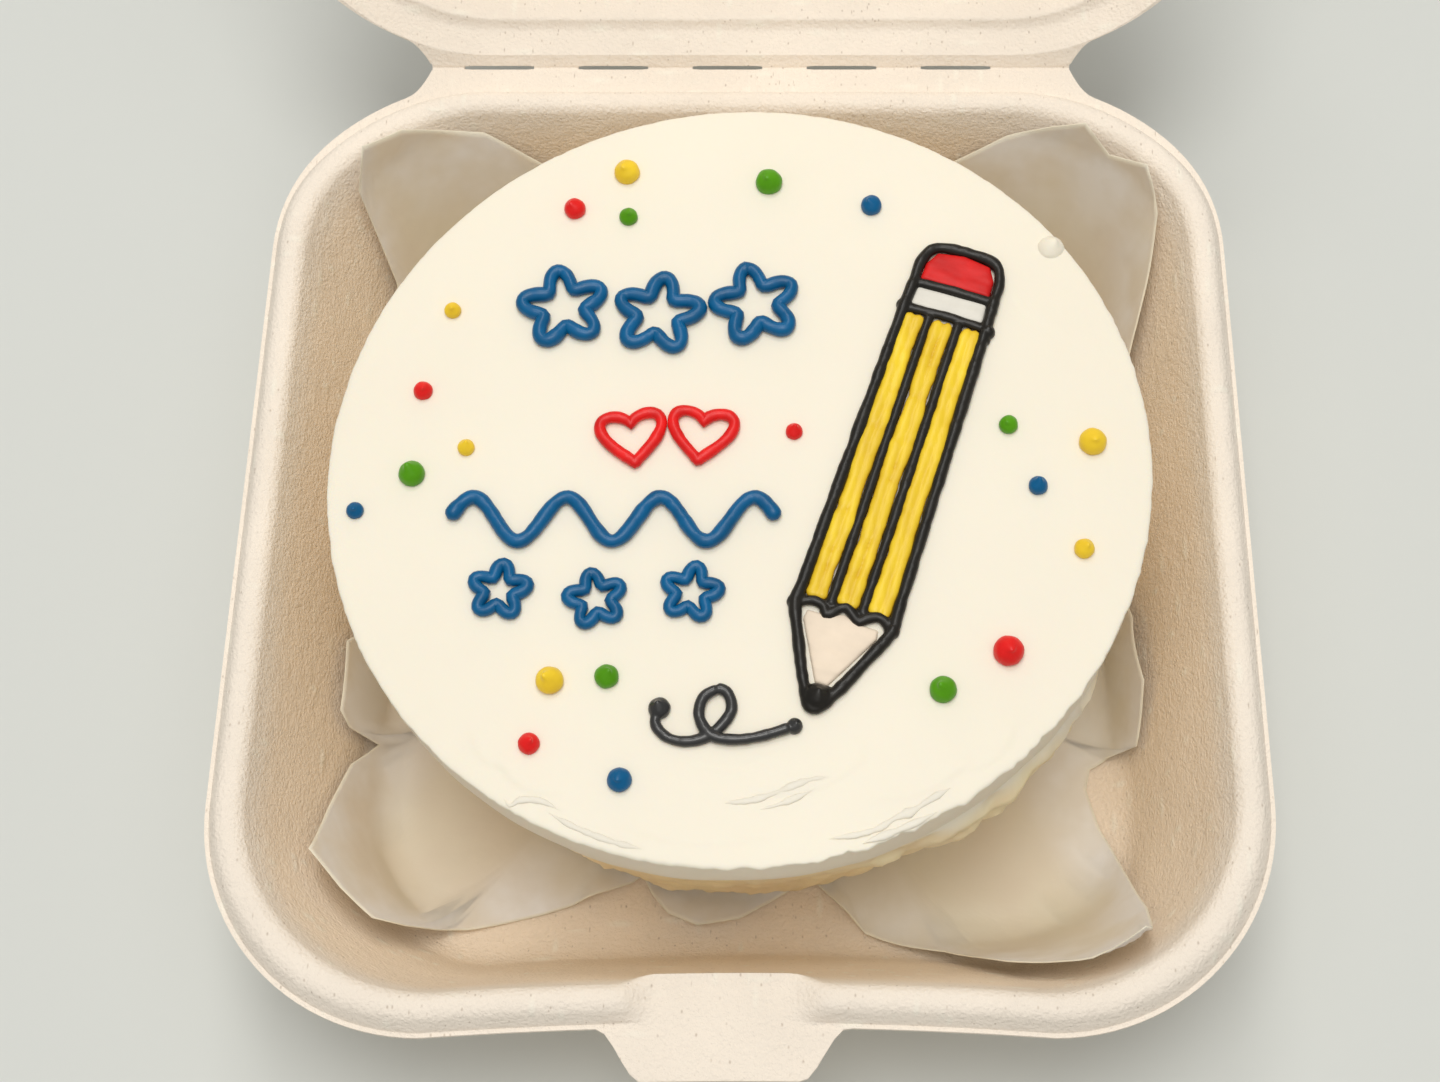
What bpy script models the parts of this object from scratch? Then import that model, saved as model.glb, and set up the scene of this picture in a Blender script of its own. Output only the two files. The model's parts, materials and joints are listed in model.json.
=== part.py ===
"""A small round celebration cake in a moulded pulp box, with its lid standing open.

Metres, +Z up, the front of the box towards -Y. The origin is the middle of the
box's underside. The cake stands on a sheet of greaseproof paper inside the box.
"""

import math

import bmesh
import bpy
from mathutils import Matrix, Vector

# Pulp shell
WALL = 0.0009
HALF_X = 0.0760
HALF_Y = 0.0784
CORNER_RADIUS = 0.0326
CORNER_SHARPENING = 0.7
FRONT_BOW = 0.0015
CORNER_STEPS = 7

# Box base
BASE_DEPTH = 0.0330
LIP_Z = WALL + BASE_DEPTH
LIP_WIDTH = 0.0010
BEAD_RISE = 0.0027
WALL_INSET = 0.0061
WALL_TAPER = 0.318
FLOOR_FILLET = 0.0065

# Hinge line across the back, and the strips that meet there
HINGE_Y = 0.0802
CLEARANCE = 0.0003
HINGE_Z = LIP_Z + CLEARANCE / 2
NECK_HALF = 0.0530
NECK_FILLET = 0.0040
FLANGE = 0.0018
FLANGE_HALF = 0.0700
FLANGE_RAMP = 0.0180
SLOT_COUNT = 5
SLOT_LENGTH = 0.0116
SLOT_PITCH = 0.0190
SLOT_MIDDLE = -0.0039
SLOT_NOTCH = 0.00035

# Closing tab at the front
TAB_X = -0.0021
TAB_REACH = 0.0072
TAB_END_HALF = 0.0108
TAB_ROOT_HALF = 0.0172
TAB_SET_IN = 0.0012
TAB_SET_IN_DEPTH = 0.0060
BEAD_GAP_HALF = 0.0092
BEAD_GAP_RAMP = 0.0055

# Lid
LID_LIP = 0.0006
LID_DEPTH = 0.0335
LID_WALL_INSET = 0.0073
LID_WALL_TAPER = 0.300
LID_FILLET = 0.0080
LID_OPENING = math.radians(118.5)

# Paper sheet
PAPER = 0.0003
PAPER_Z = WALL + CLEARANCE + PAPER / 2
PAPER_COLUMNS = 64
PAPER_BEND = 0.0056
PAPER_FLAT_END = 0.0054
PAPER_STANDOFF = 0.0024
PAPER_WAVE = 0.0009

# Cake
CAKE_X = -0.0001
CAKE_Y = 0.0013
CAKE_BOTTOM = WALL + 2 * CLEARANCE + PAPER
CAKE_TOP = LIP_Z + 0.0150
CAKE_RADIUS = 0.0597
CAKE_OVAL = 0.009
CAKE_OVAL_ANGLE = math.radians(60)
CAKE_COLUMNS = 64
FROSTING_BAND = 0.0090
RAGGED = 0.00045

# Piped icing, on the flat top
PIPED_Z = CAKE_TOP + CLEARANCE
DOT_HEIGHT = 0.45
ROPE_STEPS = 4

# Pencil, measured from its tip along its length and across it
PENCIL_X = 0.0100
PENCIL_Y = -0.0374
PENCIL_LEAN = math.radians(17.9)
PENCIL_LENGTH = 0.0772
PENCIL_POINT = 0.0150
PENCIL_BODY = 0.0648
PENCIL_FERRULE = 0.0693
PENCIL_HALF_LOW = 0.0071
PENCIL_HALF_HIGH = 0.0064
PENCIL_LINE = 0.0017
PENCIL_INNER_LINE = 0.0014
PENCIL_RULE = 0.0023

# Piped motifs
BLUE_ROPE = 0.0021
RED_ROPE = 0.0017
STAR_POINTS = 25
HEART_POINTS = 22
WAVE_POINTS = 36
WAVE_PERIODS = 3.5


def clear_scene():
    for obj in list(bpy.data.objects):
        bpy.data.objects.remove(obj, do_unlink=True)


def new_collection(name, hidden=False):
    collection = bpy.data.collections.new(name)
    bpy.context.scene.collection.children.link(collection)
    collection.hide_render = hidden
    return collection


def new_material(name, colour, roughness):
    material = bpy.data.materials.new(name)
    material.use_nodes = True
    shader = material.node_tree.nodes["Principled BSDF"]
    shader.inputs["Base Color"].default_value = (*colour, 1.0)
    shader.inputs["Roughness"].default_value = roughness
    shader.inputs["Metallic"].default_value = 0.0
    material.diffuse_color = (*colour, 1.0)
    return material


def place(name, mesh, material, collection):
    obj = bpy.data.objects.new(name, mesh)
    if material:
        mesh.materials.append(material)
    collection.objects.link(obj)
    return obj


def from_bmesh(name, bm, material, collection):
    mesh = bpy.data.meshes.new(name)
    bm.to_mesh(mesh)
    bm.free()
    mesh.shade_smooth()
    mesh.set_sharp_from_angle(angle=math.radians(50))
    return place(name, mesh, material, collection)


def ease(value):
    """A smooth step from 0 to 1 as value goes from 0 to 1."""
    value = min(1.0, max(0.0, value))
    return value * value * (3 - 2 * value)


# Plan outline of the box: each column is a place on it that every ring shares


def plan_columns():
    """Columns counterclockwise from the left end of the front side."""
    tab_places = [-1.0, -0.47, -0.42, -0.37, -0.325, -0.28, -0.23, 0.0]
    tab_places += [0.18, 0.235, 0.28, 0.325, 0.37, 0.41, 0.7, 1.0]
    sides = {
        "front": tab_places,
        "right": [-1.0, 0.0, 1.0],
        "back": [1.0, 0.4, -0.4, -1.0],
        "left": [1.0, 0.0, -1.0],
    }
    corners = {"front": (1, -1), "right": (1, 1), "back": (-1, 1), "left": (-1, -1)}
    columns = []
    for side, places in sides.items():
        columns += [(side, spot) for spot in places]
        columns += [(corners[side], angle) for angle in corner_angles(corners[side])]
    return columns


def corner_angles(corner):
    """Angles from the X axis, in the order in which the outline passes them."""
    quarter = math.pi / 2
    angles = [quarter * step / CORNER_STEPS for step in range(1, CORNER_STEPS)]
    if corner[1] > 0:
        # Extra columns where the outline turns out to the hinge strip.
        neck = [NECK_HALF + NECK_FILLET * part for part in (-0.05, 0.1, 0.3, 0.6, 1.0)]
        reach = [(x - HALF_X + CORNER_RADIUS) / CORNER_RADIUS for x in neck]
        angles = [angle for angle in angles if angle < math.acos(reach[-1]) - 0.1]
        angles += [math.acos(part) for part in reversed(reach)]
    climbs = corner in ((1, 1), (-1, -1))
    return angles if climbs else angles[::-1]


def plan_point(column, inset):
    """X and Y of a column on the outline drawn in by inset, before tab and strip."""
    side, spot = column
    radius = CORNER_RADIUS - CORNER_SHARPENING * max(inset, 0.0)
    flat_x = HALF_X - inset - radius
    flat_y = HALF_Y - inset - radius
    if side == "front":
        return spot * flat_x, -(HALF_Y - inset) + FRONT_BOW * (1 - spot * spot)
    if side == "back":
        return spot * flat_x, HALF_Y - inset
    if side == "right":
        return HALF_X - inset, spot * flat_y
    if side == "left":
        return -(HALF_X - inset), spot * flat_y
    x = side[0] * (flat_x + radius * math.cos(spot))
    return x, side[1] * (flat_y + radius * math.sin(spot))


def gap_share(x):
    """1 where the bead gives way to the flat tab, 0 away from it."""
    return 1 - ease((abs(x - TAB_X) - BEAD_GAP_HALF) / BEAD_GAP_RAMP)


def edge_point(column, inset):
    """A column on the outer edge of a rim, with the tab and the hinge strip."""
    x, y = plan_point(column, inset)
    if y < 0:
        across = (TAB_ROOT_HALF - abs(x - TAB_X)) / (TAB_ROOT_HALF - TAB_END_HALF)
        return x, y - TAB_REACH * ease(across)
    if column[0] in ("left", "right"):
        return x, y
    y += FLANGE * ease((FLANGE_HALF - abs(x)) / FLANGE_RAMP)
    beyond = max(0.0, (abs(x) - NECK_HALF) / NECK_FILLET)
    strip_edge = HINGE_Y - CLEARANCE / 2
    return x, y + (strip_edge - y) * max(0.0, 1 - beyond) ** 2.5


def fillet_stations(inset, height, radius, taper, steps=3):
    """The turn from a wall that ends at inset and height into a flat panel."""
    lean = math.atan(taper)
    stations = []
    for step in range(1, steps + 1):
        angle = lean + (math.pi / 2 - lean) * step / steps
        over = radius * (math.cos(lean) - math.cos(angle))
        down = radius * (math.sin(angle) - math.sin(lean))
        stations.append((inset + over, height - down))
    return stations


def base_rings():
    """Rings of the base's upper surface, from the lip's edge in to the floor."""
    columns = plan_columns()
    floor_z = LIP_Z - BASE_DEPTH
    drop = FLOOR_FILLET * (1 - math.sin(math.atan(WALL_TAPER)))
    wall_end = floor_z + drop
    # Inset from the lip's edge, and height as a share of the bead's rise
    bead = [(LIP_WIDTH, 0.0), (0.0018, 0.62), (0.0032, 1.0), (0.0049, 0.82), (WALL_INSET, 0.2)]
    rings = [[(*edge_point(column, 0.0), LIP_Z) for column in columns]]
    for inset, rise in bead:
        ring = []
        for column in columns:
            x, y = plan_point(column, inset)
            share = gap_share(x) if y < 0 else 0.0
            y += TAB_SET_IN * share * inset / WALL_INSET
            ring.append((x, y, LIP_Z + BEAD_RISE * rise * (1 - share)))
        rings.append(ring)
    wall_foot = WALL_INSET + (LIP_Z - wall_end) * WALL_TAPER
    stations = [(WALL_INSET + TAB_SET_IN_DEPTH * WALL_TAPER, LIP_Z - TAB_SET_IN_DEPTH)]
    stations += [(wall_foot, wall_end)]
    stations += fillet_stations(wall_foot, wall_end, FLOOR_FILLET, WALL_TAPER)
    for inset, height in stations:
        rings.append([(*plan_point(column, inset), height) for column in columns])
    return rings


def lid_rings():
    """Rings of the closed lid's inner surface, from its edge in to the top panel."""
    columns = plan_columns()
    seat = LIP_Z + CLEARANCE
    # Inset from the lip's edge, and height above it
    channel = [(0.0004, 0.0), (0.0012, 0.0024), (0.0027, 0.0034), (0.0043, 0.0035)]
    channel += [(0.0056, 0.0026), (0.0065, 0.0010), (LID_WALL_INSET, 0.0012)]
    rings = [[(*edge_point(column, -LID_LIP), seat) for column in columns]]
    for inset, rise in channel:
        rings.append([(*plan_point(column, inset), seat + rise) for column in columns])
    lean = math.atan(LID_WALL_TAPER)
    wall_end = LID_DEPTH - LID_FILLET * (1 - math.sin(lean))
    wall_foot = LID_WALL_INSET + wall_end * LID_WALL_TAPER
    rings.append([(*plan_point(column, wall_foot), seat + wall_end) for column in columns])
    for inset, height in fillet_stations(wall_foot, 0.0, LID_FILLET, LID_WALL_TAPER):
        rise = seat + wall_end - height
        rings.append([(*plan_point(column, inset), rise) for column in columns])
    return rings


def loft(rings, origin):
    """An open surface through the rings, closed by one face over the last one."""
    bm = bmesh.new()
    rows = [[bm.verts.new(Vector(point) - origin) for point in ring] for ring in rings]
    for outer, inner in zip(rows, rows[1:]):
        for index in range(len(outer)):
            after = (index + 1) % len(outer)
            bm.faces.new((outer[index], outer[after], inner[after], inner[index]))
    bm.faces.new(rows[-1])
    bm.normal_update()
    return bm


def slot_cutter(name, origin, cutters):
    """Five bars that notch the edge of a hinge strip on the hinge line."""
    bm = bmesh.new()
    for index in range(SLOT_COUNT):
        made = bmesh.ops.create_cube(bm, size=1.0)["verts"]
        width = CLEARANCE + 2 * SLOT_NOTCH
        bmesh.ops.scale(bm, vec=(SLOT_LENGTH, width, 8 * WALL), verts=made)
        x = SLOT_MIDDLE + SLOT_PITCH * (index - (SLOT_COUNT - 1) / 2)
        spot = Vector((x, HINGE_Y, HINGE_Z)) - origin
        bmesh.ops.translate(bm, vec=spot, verts=made)
    cutter = from_bmesh(name, bm, None, cutters)
    cutter.hide_render = True
    cutter.display_type = "WIRE"
    return cutter


def pulp_shell(name, rings, origin, inner_side_up, material, parts, cutters):
    """A shell of even wall behind the surface through rings, notched at the hinge."""
    bm = loft(rings, origin)
    faces_up = bm.faces[:][-1].normal.z > 0
    if faces_up != inner_side_up:
        bmesh.ops.reverse_faces(bm, faces=bm.faces[:])
    shell = from_bmesh(name, bm, material, parts)
    solidify = shell.modifiers.new("Wall", "SOLIDIFY")
    solidify.thickness = WALL
    solidify.offset = -1.0
    solidify.use_even_offset = True
    cutter = slot_cutter(name + "_slots", origin, cutters)
    slots = shell.modifiers.new("Slots", "BOOLEAN")
    slots.operation = "DIFFERENCE"
    slots.object = cutter
    return shell, cutter


def make_box(pulp, parts, cutters):
    pulp_shell("box_base", base_rings(), Vector(), True, pulp, parts, cutters)
    hinge = Vector((0.0, HINGE_Y, HINGE_Z))
    pair = pulp_shell("box_lid", lid_rings(), hinge, False, pulp, parts, cutters)
    for obj in pair:
        obj.location = hinge
        obj.rotation_euler.x = -LID_OPENING


# Paper sheet


def wall_distance(angle, height, standoff):
    """How far the base's inner wall is from the middle, at a height, less standoff."""
    below = max(0.0, LIP_Z - height)
    inset = WALL_INSET + below * WALL_TAPER + standoff
    radius = CORNER_RADIUS - CORNER_SHARPENING * inset
    core_x = HALF_X - inset - radius
    core_y = HALF_Y - inset - radius - (FRONT_BOW if angle < 0 else 0.0)
    near, far = 0.0, 0.12
    for _ in range(30):
        middle = (near + far) / 2
        over_x = max(0.0, abs(middle * math.cos(angle)) - core_x)
        over_y = max(0.0, abs(middle * math.sin(angle)) - core_y)
        if math.hypot(over_x, over_y) < radius:
            near = middle
        else:
            far = middle
    return near


def paper_reach(angle):
    """Length of sheet from the cake's middle to its edge, with the corners raised."""
    # Angle in degrees, half width in degrees, extra length
    lobes = [(132, 21, 0.0435), (50, 24, 0.0400), (-139, 17, 0.0270), (-52, 19, 0.0360)]
    lobes += [(-166, 10, 0.0080), (-15, 11, 0.0080), (-94, 9, -0.0045)]
    lobes += [(-108, 8, -0.0100), (-79, 7, -0.0100), (-29, 6, -0.0040)]
    reach = 0.0655
    for middle, spread, extra in lobes:
        turn = (math.degrees(angle) - middle + 180) % 360 - 180
        reach += extra * math.exp(-((turn / spread) ** 2))
    return reach


def paper_point(angle, length):
    """A point of the sheet at a length from its middle, up the wall past the floor."""
    wave = PAPER_WAVE * (math.sin(9 * angle + 0.6) + 0.5 * math.sin(17 * angle + 2.0))
    floor_end = wall_distance(angle, WALL, PAPER_FLAT_END)
    if length < floor_end:
        return length * math.cos(angle), length * math.sin(angle), PAPER_Z
    climb = length - floor_end
    lean = math.atan(WALL_TAPER)
    arc = PAPER_BEND * (math.pi / 2 - lean)
    if climb < arc:
        turn = climb / PAPER_BEND
        rise = PAPER_BEND * (1 - math.cos(turn))
    else:
        turn = arc / PAPER_BEND
        rise = PAPER_BEND * (1 - math.cos(turn)) + (climb - arc) * math.cos(lean)
    height = PAPER_Z + rise
    out = floor_end + PAPER_BEND * math.sin(turn) + max(0.0, climb - arc) * math.sin(lean)
    limit = wall_distance(angle, height, PAPER_STANDOFF)
    share = ease(climb / 0.012)
    out = min(out, limit) * (1 - share) + limit * share + wave * share
    return out * math.cos(angle), out * math.sin(angle), height


def make_paper(paper, parts):
    shares = [0.0, 0.52, 0.70, 0.80, 0.88, 0.95, 1.0]
    bm = bmesh.new()
    middle = bm.verts.new((0.0, 0.0, PAPER_Z))
    rows = []
    for share in shares[1:]:
        row = []
        for index in range(PAPER_COLUMNS):
            angle = 2 * math.pi * index / PAPER_COLUMNS
            angle = (angle + math.pi) % (2 * math.pi) - math.pi
            row.append(bm.verts.new(paper_point(angle, share * paper_reach(angle))))
        rows.append(row)
    for index in range(PAPER_COLUMNS):
        after = (index + 1) % PAPER_COLUMNS
        bm.faces.new((middle, rows[0][index], rows[0][after]))
        for inner, outer in zip(rows, rows[1:]):
            bm.faces.new((inner[index], outer[index], outer[after], inner[after]))
    bmesh.ops.triangulate(bm, faces=bm.faces[:])
    sheet = from_bmesh("paper_liner", bm, paper, parts)
    solidify = sheet.modifiers.new("Sheet", "SOLIDIFY")
    solidify.thickness = PAPER
    solidify.offset = 0.0
    solidify.use_even_offset = True


# Cake


def cake_profile():
    """Radius and height up the side and in over the top, as shares of relief too."""
    ledge = CAKE_TOP - FROSTING_BAND
    steps = [(0.0508, CAKE_BOTTOM, 0.0), (0.0520, CAKE_BOTTOM + 0.0012, 0.3)]
    for share in (0.18, 0.36, 0.54, 0.72, 0.90, 0.985):
        height = CAKE_BOTTOM + (ledge - CAKE_BOTTOM) * share
        steps.append((0.0525 + 0.0055 * share, height, 1.0))
    steps += [(CAKE_RADIUS - 0.0009, ledge + 0.0007, 0.8)]
    steps += [(CAKE_RADIUS - 0.0004, CAKE_TOP - 0.0045, 0.15)]
    steps += [(CAKE_RADIUS, CAKE_TOP - 0.0013, 0.1), (CAKE_RADIUS - 0.0004, CAKE_TOP - 0.0004, 0.0)]
    steps += [(CAKE_RADIUS - 0.0016, CAKE_TOP, 0.0), (CAKE_RADIUS * 0.5, CAKE_TOP, 0.0)]
    return steps


def cake_scale(angle):
    return 1 + CAKE_OVAL * math.cos(2 * (angle - CAKE_OVAL_ANGLE))


def ragged(angle, height):
    """Unevenness of the side where the frosting was dragged round it."""
    waves = math.sin(13 * angle + 900 * height) + math.sin(29 * angle - 1300 * height + 1.0)
    return RAGGED * (waves + 0.7 * math.sin(7 * angle + 0.4)) / 2


def make_cake_body(frosting, parts):
    bm = bmesh.new()
    rows = []
    for radius, height, relief in cake_profile():
        row = []
        for index in range(CAKE_COLUMNS):
            angle = 2 * math.pi * index / CAKE_COLUMNS
            reach = radius * cake_scale(angle) + relief * ragged(angle, height)
            x = CAKE_X + reach * math.cos(angle)
            y = CAKE_Y + reach * math.sin(angle)
            row.append(bm.verts.new((x, y, height)))
        rows.append(row)
    for lower, upper in zip(rows, rows[1:]):
        for index in range(CAKE_COLUMNS):
            after = (index + 1) % CAKE_COLUMNS
            bm.faces.new((lower[index], lower[after], upper[after], upper[index]))
    bm.faces.new(rows[0][::-1])
    bm.faces.new(rows[-1])
    return from_bmesh("cake", bm, frosting, parts)


def dots():
    """X, Y and width of each piped dot, in millimetres, by colour."""
    return {
        "yellow": [
            (-18.2, 49.7, 3.9), (-43.3, 25.6, 2.5), (-39.8, 3.0, 2.5),
            (50.8, 3.9, 4.0), (48.7, -12.8, 2.9), (-25.9, -32.5, 3.9),
        ],
        "green": [
            (3.6, 47.9, 4.1), (-17.7, 41.8, 2.8), (-47.3, -1.2, 3.8),
            (38.7, 6.7, 2.8), (-18.1, -31.9, 3.4), (28.2, -33.8, 3.8),
        ],
        "red": [
            (-25.9, 43.2, 3.3), (-46.7, 12.2, 2.8), (7.6, 5.6, 2.5),
            (37.4, -28.2, 4.3), (-28.3, -41.5, 3.0),
        ],
        "blue": [
            (19.2, 43.8, 3.2), (-55.0, -6.9, 2.5), (42.6, -3.0, 2.8), (-15.8, -46.6, 3.4),
        ],
    }


def blob(name, x, y, z, radius, height, collection):
    """A squashed drop of icing whose lower half is sunk in what it lies on."""
    bm = bmesh.new()
    bmesh.ops.create_uvsphere(bm, u_segments=9, v_segments=6, radius=1.0)
    bmesh.ops.scale(bm, vec=(radius, radius, height), verts=bm.verts[:])
    bmesh.ops.translate(bm, vec=(x, y, z), verts=bm.verts[:])
    return from_bmesh(name, bm, None, collection)


def fuse(obj, others):
    """One union of obj with every object of the collection, which is then emptied."""
    union = obj.modifiers.new("Fuse", "BOOLEAN")
    union.operation = "UNION"
    union.operand_type = "COLLECTION"
    union.collection = others
    union.solver = "MANIFOLD"
    bpy.context.view_layer.update()
    graph = bpy.context.evaluated_depsgraph_get()
    mesh = bpy.data.meshes.new_from_object(obj.evaluated_get(graph))
    obj.modifiers.remove(union)
    obj.data = mesh
    for other in list(others.objects):
        bpy.data.objects.remove(other, do_unlink=True)


def make_cake(frosting, parts, fused):
    cake = make_cake_body(frosting, parts)
    for colour, spots in dots().items():
        for index, (x, y, width) in enumerate(spots):
            radius = width / 2000
            height = width * DOT_HEIGHT / 1000
            name = f"{colour}_{index}"
            lift = CAKE_TOP + 0.00015 * (1 + index % 2)
            blob(name, x / 1000, y / 1000, lift, radius, height, fused)
    blob("nub", 0.0478, 0.0376, CAKE_TOP - 0.0012, 0.0019, 0.0012, fused)
    fuse(cake, fused)
    return cake


# Piped icing


def rope_section(name, width, height, cutters):
    """Half an ellipse standing on its flat side, as the section of a rope of icing."""
    curve = bpy.data.curves.new(name, "CURVE")
    curve.dimensions = "2D"
    spline = curve.splines.new("POLY")
    spline.points.add(ROPE_STEPS)
    for step, point in enumerate(spline.points):
        angle = math.pi * step / ROPE_STEPS
        point.co = (width / 2 * math.cos(angle), height * math.sin(angle), 0.0, 1.0)
    spline.use_cyclic_u = True
    guide = bpy.data.objects.new(name, curve)
    guide.hide_render = True
    guide.display_type = "WIRE"
    cutters.objects.link(guide)
    return guide


def rope(name, points, width, height, cutters, closed=False, swell=0.0):
    """A mesh rope of icing along points in the XY plane, standing on PIPED_Z."""
    curve = bpy.data.curves.new(name, "CURVE")
    curve.dimensions = "3D"
    curve.twist_mode = "Z_UP"
    curve.bevel_mode = "OBJECT"
    curve.bevel_object = rope_section(name + "_section", width, height, cutters)
    curve.use_fill_caps = True
    spline = curve.splines.new("POLY")
    spline.points.add(len(points) - 1)
    for index, (x, y) in enumerate(points):
        spline.points[index].co = (x, y, PIPED_Z, 1.0)
        at_end = index in (0, len(points) - 1) and not closed
        spline.points[index].radius = 0.6 if at_end else 1.0 + swell
    spline.use_cyclic_u = closed
    path = bpy.data.objects.new(name + "_path", curve)
    bpy.context.scene.collection.objects.link(path)
    bpy.context.view_layer.update()
    graph = bpy.context.evaluated_depsgraph_get()
    mesh = bpy.data.meshes.new_from_object(path.evaluated_get(graph))
    mesh.name = name
    bpy.data.objects.remove(path, do_unlink=True)
    bm = bmesh.new()
    bm.from_mesh(mesh)
    bmesh.ops.remove_doubles(bm, verts=bm.verts[:], dist=0.00001)
    bmesh.ops.recalc_face_normals(bm, faces=bm.faces[:])
    bm.to_mesh(mesh)
    bm.free()
    return mesh


def smooth_path(knots, steps, closed=False):
    """Points along a smooth curve through knots, steps of them between each two."""
    count = len(knots)
    points = []
    spans = count if closed else count - 1
    for span in range(spans):
        around = []
        for offset in (-1, 0, 1, 2):
            index = span + offset
            index = index % count if closed else min(max(index, 0), count - 1)
            around.append(Vector(knots[index]))
        before, start, end, after = around
        for step in range(steps):
            t = step / steps
            bend = (end - before) * t + (2 * before - 5 * start + 4 * end - after) * t * t
            bend += (3 * start - before - 3 * end + after) * t**3
            spot = start + bend / 2
            points.append((spot.x, spot.y))
    if not closed:
        points.append(tuple(knots[-1]))
    return points


def star_path(x, y, radius, lean):
    """A soft five-pointed star."""
    points = []
    for step in range(STAR_POINTS):
        angle = 2 * math.pi * step / STAR_POINTS
        reach = radius * (0.76 + 0.24 * math.cos(5 * angle))
        heading = angle + math.pi / 2 + lean
        points.append((x + reach * math.cos(heading), y + reach * math.sin(heading)))
    return points


def heart_path(x, y, size, lean):
    """A heart, with its cleft and its point rounded."""
    points = []
    for step in range(HEART_POINTS):
        angle = 2 * math.pi * (step + 0.5) / HEART_POINTS
        across = 0.5 * math.sin(angle) ** 3
        along = 0.41 * math.cos(angle) - 0.17 * math.cos(2 * angle) - 0.06 * math.cos(3 * angle)
        turned = Vector((across * size, along * size))
        turned.rotate(Matrix.Rotation(lean, 2))
        points.append((x + turned.x, y + turned.y))
    return points


def join_ropes(name, meshes, material, parts, fused):
    """One solid from ropes that cross or meet."""
    joined = place(name, meshes[0], material, parts)
    for index, mesh in enumerate(meshes[1:]):
        other = place(f"{name}_{index}", mesh, None, fused)
        other.location.z = 0.00004 * (index + 1)
    fuse(joined, fused)
    return joined


def pencil_point(across, along):
    """A place on the drawn pencil, given in millimetres from its tip, as X and Y."""
    along_x, along_y = math.sin(PENCIL_LEAN), math.cos(PENCIL_LEAN)
    x = PENCIL_X + (across * along_y + along * along_x) / 1000
    y = PENCIL_Y + (along * along_y - across * along_x) / 1000
    return x, y


def pencil_path(knots, steps, closed=False):
    return smooth_path([pencil_point(*knot) for knot in knots], steps, closed)


def make_pencil_outline(black, parts, cutters, fused):
    low, high = PENCIL_HALF_LOW * 1000, PENCIL_HALF_HIGH * 1000
    point, body = PENCIL_POINT * 1000, PENCIL_BODY * 1000
    band, end = PENCIL_FERRULE * 1000, PENCIL_LENGTH * 1000 - 0.8
    rule = PENCIL_RULE * 1000
    right = [(2.4, 4.2), (5.0, 9.9), (low, point), (low - 0.1, 19.0), (low - 0.4, 42.0)]
    right += [(high, body - 2.0), (6.2, band), (6.1, end - 3.4), (4.6, end - 0.6)]
    left = [(-across, along) for across, along in reversed(right)]
    outer = pencil_path([(0.0, 0.9)] + right + [(0.0, end)] + left, 3, closed=True)
    height = PENCIL_LINE * 0.85
    meshes = [rope("outline", outer, PENCIL_LINE, height, cutters, closed=True)]
    for side in (-1, 1):
        line = [(side * rule, point + 0.6), (side * rule, 40.0), (side * rule, body)]
        path = pencil_path(line, 3)
        meshes.append(rope("rule", path, PENCIL_INNER_LINE, height * 0.8, cutters))
    for along in (body, band):
        line = [(-6.2, along), (0.0, along + 0.25), (6.2, along)]
        path = pencil_path(line, 3)
        meshes.append(rope("band", path, PENCIL_INNER_LINE, height * 0.85, cutters))
    cuts = [(-low, point), (-4.8, point + 1.2), (-rule, point), (0.0, point + 1.3)]
    cuts += [(rule, point), (4.8, point + 1.2), (low, point)]
    path = pencil_path(cuts, 2)
    meshes.append(rope("cut", path, PENCIL_INNER_LINE, height * 0.82, cutters))
    x, y = pencil_point(0.0, 2.9)
    tip = drop_mesh("tip", x, y, 0.0022, 0.0017)
    return join_ropes("pencil_outline", meshes + [tip], black, parts, fused)


def drop_mesh(name, x, y, radius, height):
    """A round drop of icing with a flat underside on PIPED_Z."""
    bm = bmesh.new()
    bmesh.ops.create_uvsphere(bm, u_segments=10, v_segments=8, radius=1.0)
    cut = bmesh.ops.bisect_plane(
        bm, geom=bm.verts[:] + bm.edges[:] + bm.faces[:], plane_co=(0, 0, 0.01),
        plane_no=(0, 0, 1), clear_inner=True,
    )["geom_cut"]
    edges = [item for item in cut if isinstance(item, bmesh.types.BMEdge)]
    bmesh.ops.holes_fill(bm, edges=edges, sides=0)
    bmesh.ops.translate(bm, vec=(0, 0, -0.01), verts=bm.verts[:])
    bmesh.ops.scale(bm, vec=(radius, radius, height), verts=bm.verts[:])
    bmesh.ops.translate(bm, vec=(x, y, PIPED_Z), verts=bm.verts[:])
    bmesh.ops.recalc_face_normals(bm, faces=bm.faces[:])
    mesh = bpy.data.meshes.new(name)
    bm.to_mesh(mesh)
    bm.free()
    return mesh


def pad(name, corners, height, material, parts):
    """A flat patch of icing between the pencil's lines, soft along its top edge."""
    bm = bmesh.new()
    points = [pencil_point(*corner) for corner in corners]
    face = bm.faces.new([bm.verts.new((x, y, PIPED_Z)) for x, y in points])
    if face.normal.z > 0:
        face.normal_flip()
    top = bmesh.ops.extrude_face_region(bm, geom=[face])["geom"]
    moved = [item for item in top if isinstance(item, bmesh.types.BMVert)]
    bmesh.ops.translate(bm, vec=(0, 0, height * 0.55), verts=moved)
    bmesh.ops.recalc_face_normals(bm, faces=bm.faces[:])
    upper = max(bm.faces, key=lambda item: item.calc_center_median().z)
    bmesh.ops.inset_region(bm, faces=[upper], thickness=0.0004, depth=0.0)
    upper = max(bm.faces, key=lambda item: len(item.verts) * 10 + item.normal.z)
    bmesh.ops.translate(bm, vec=(0, 0, height * 0.45), verts=list(upper.verts))
    return from_bmesh(name, bm, material, parts)


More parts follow.
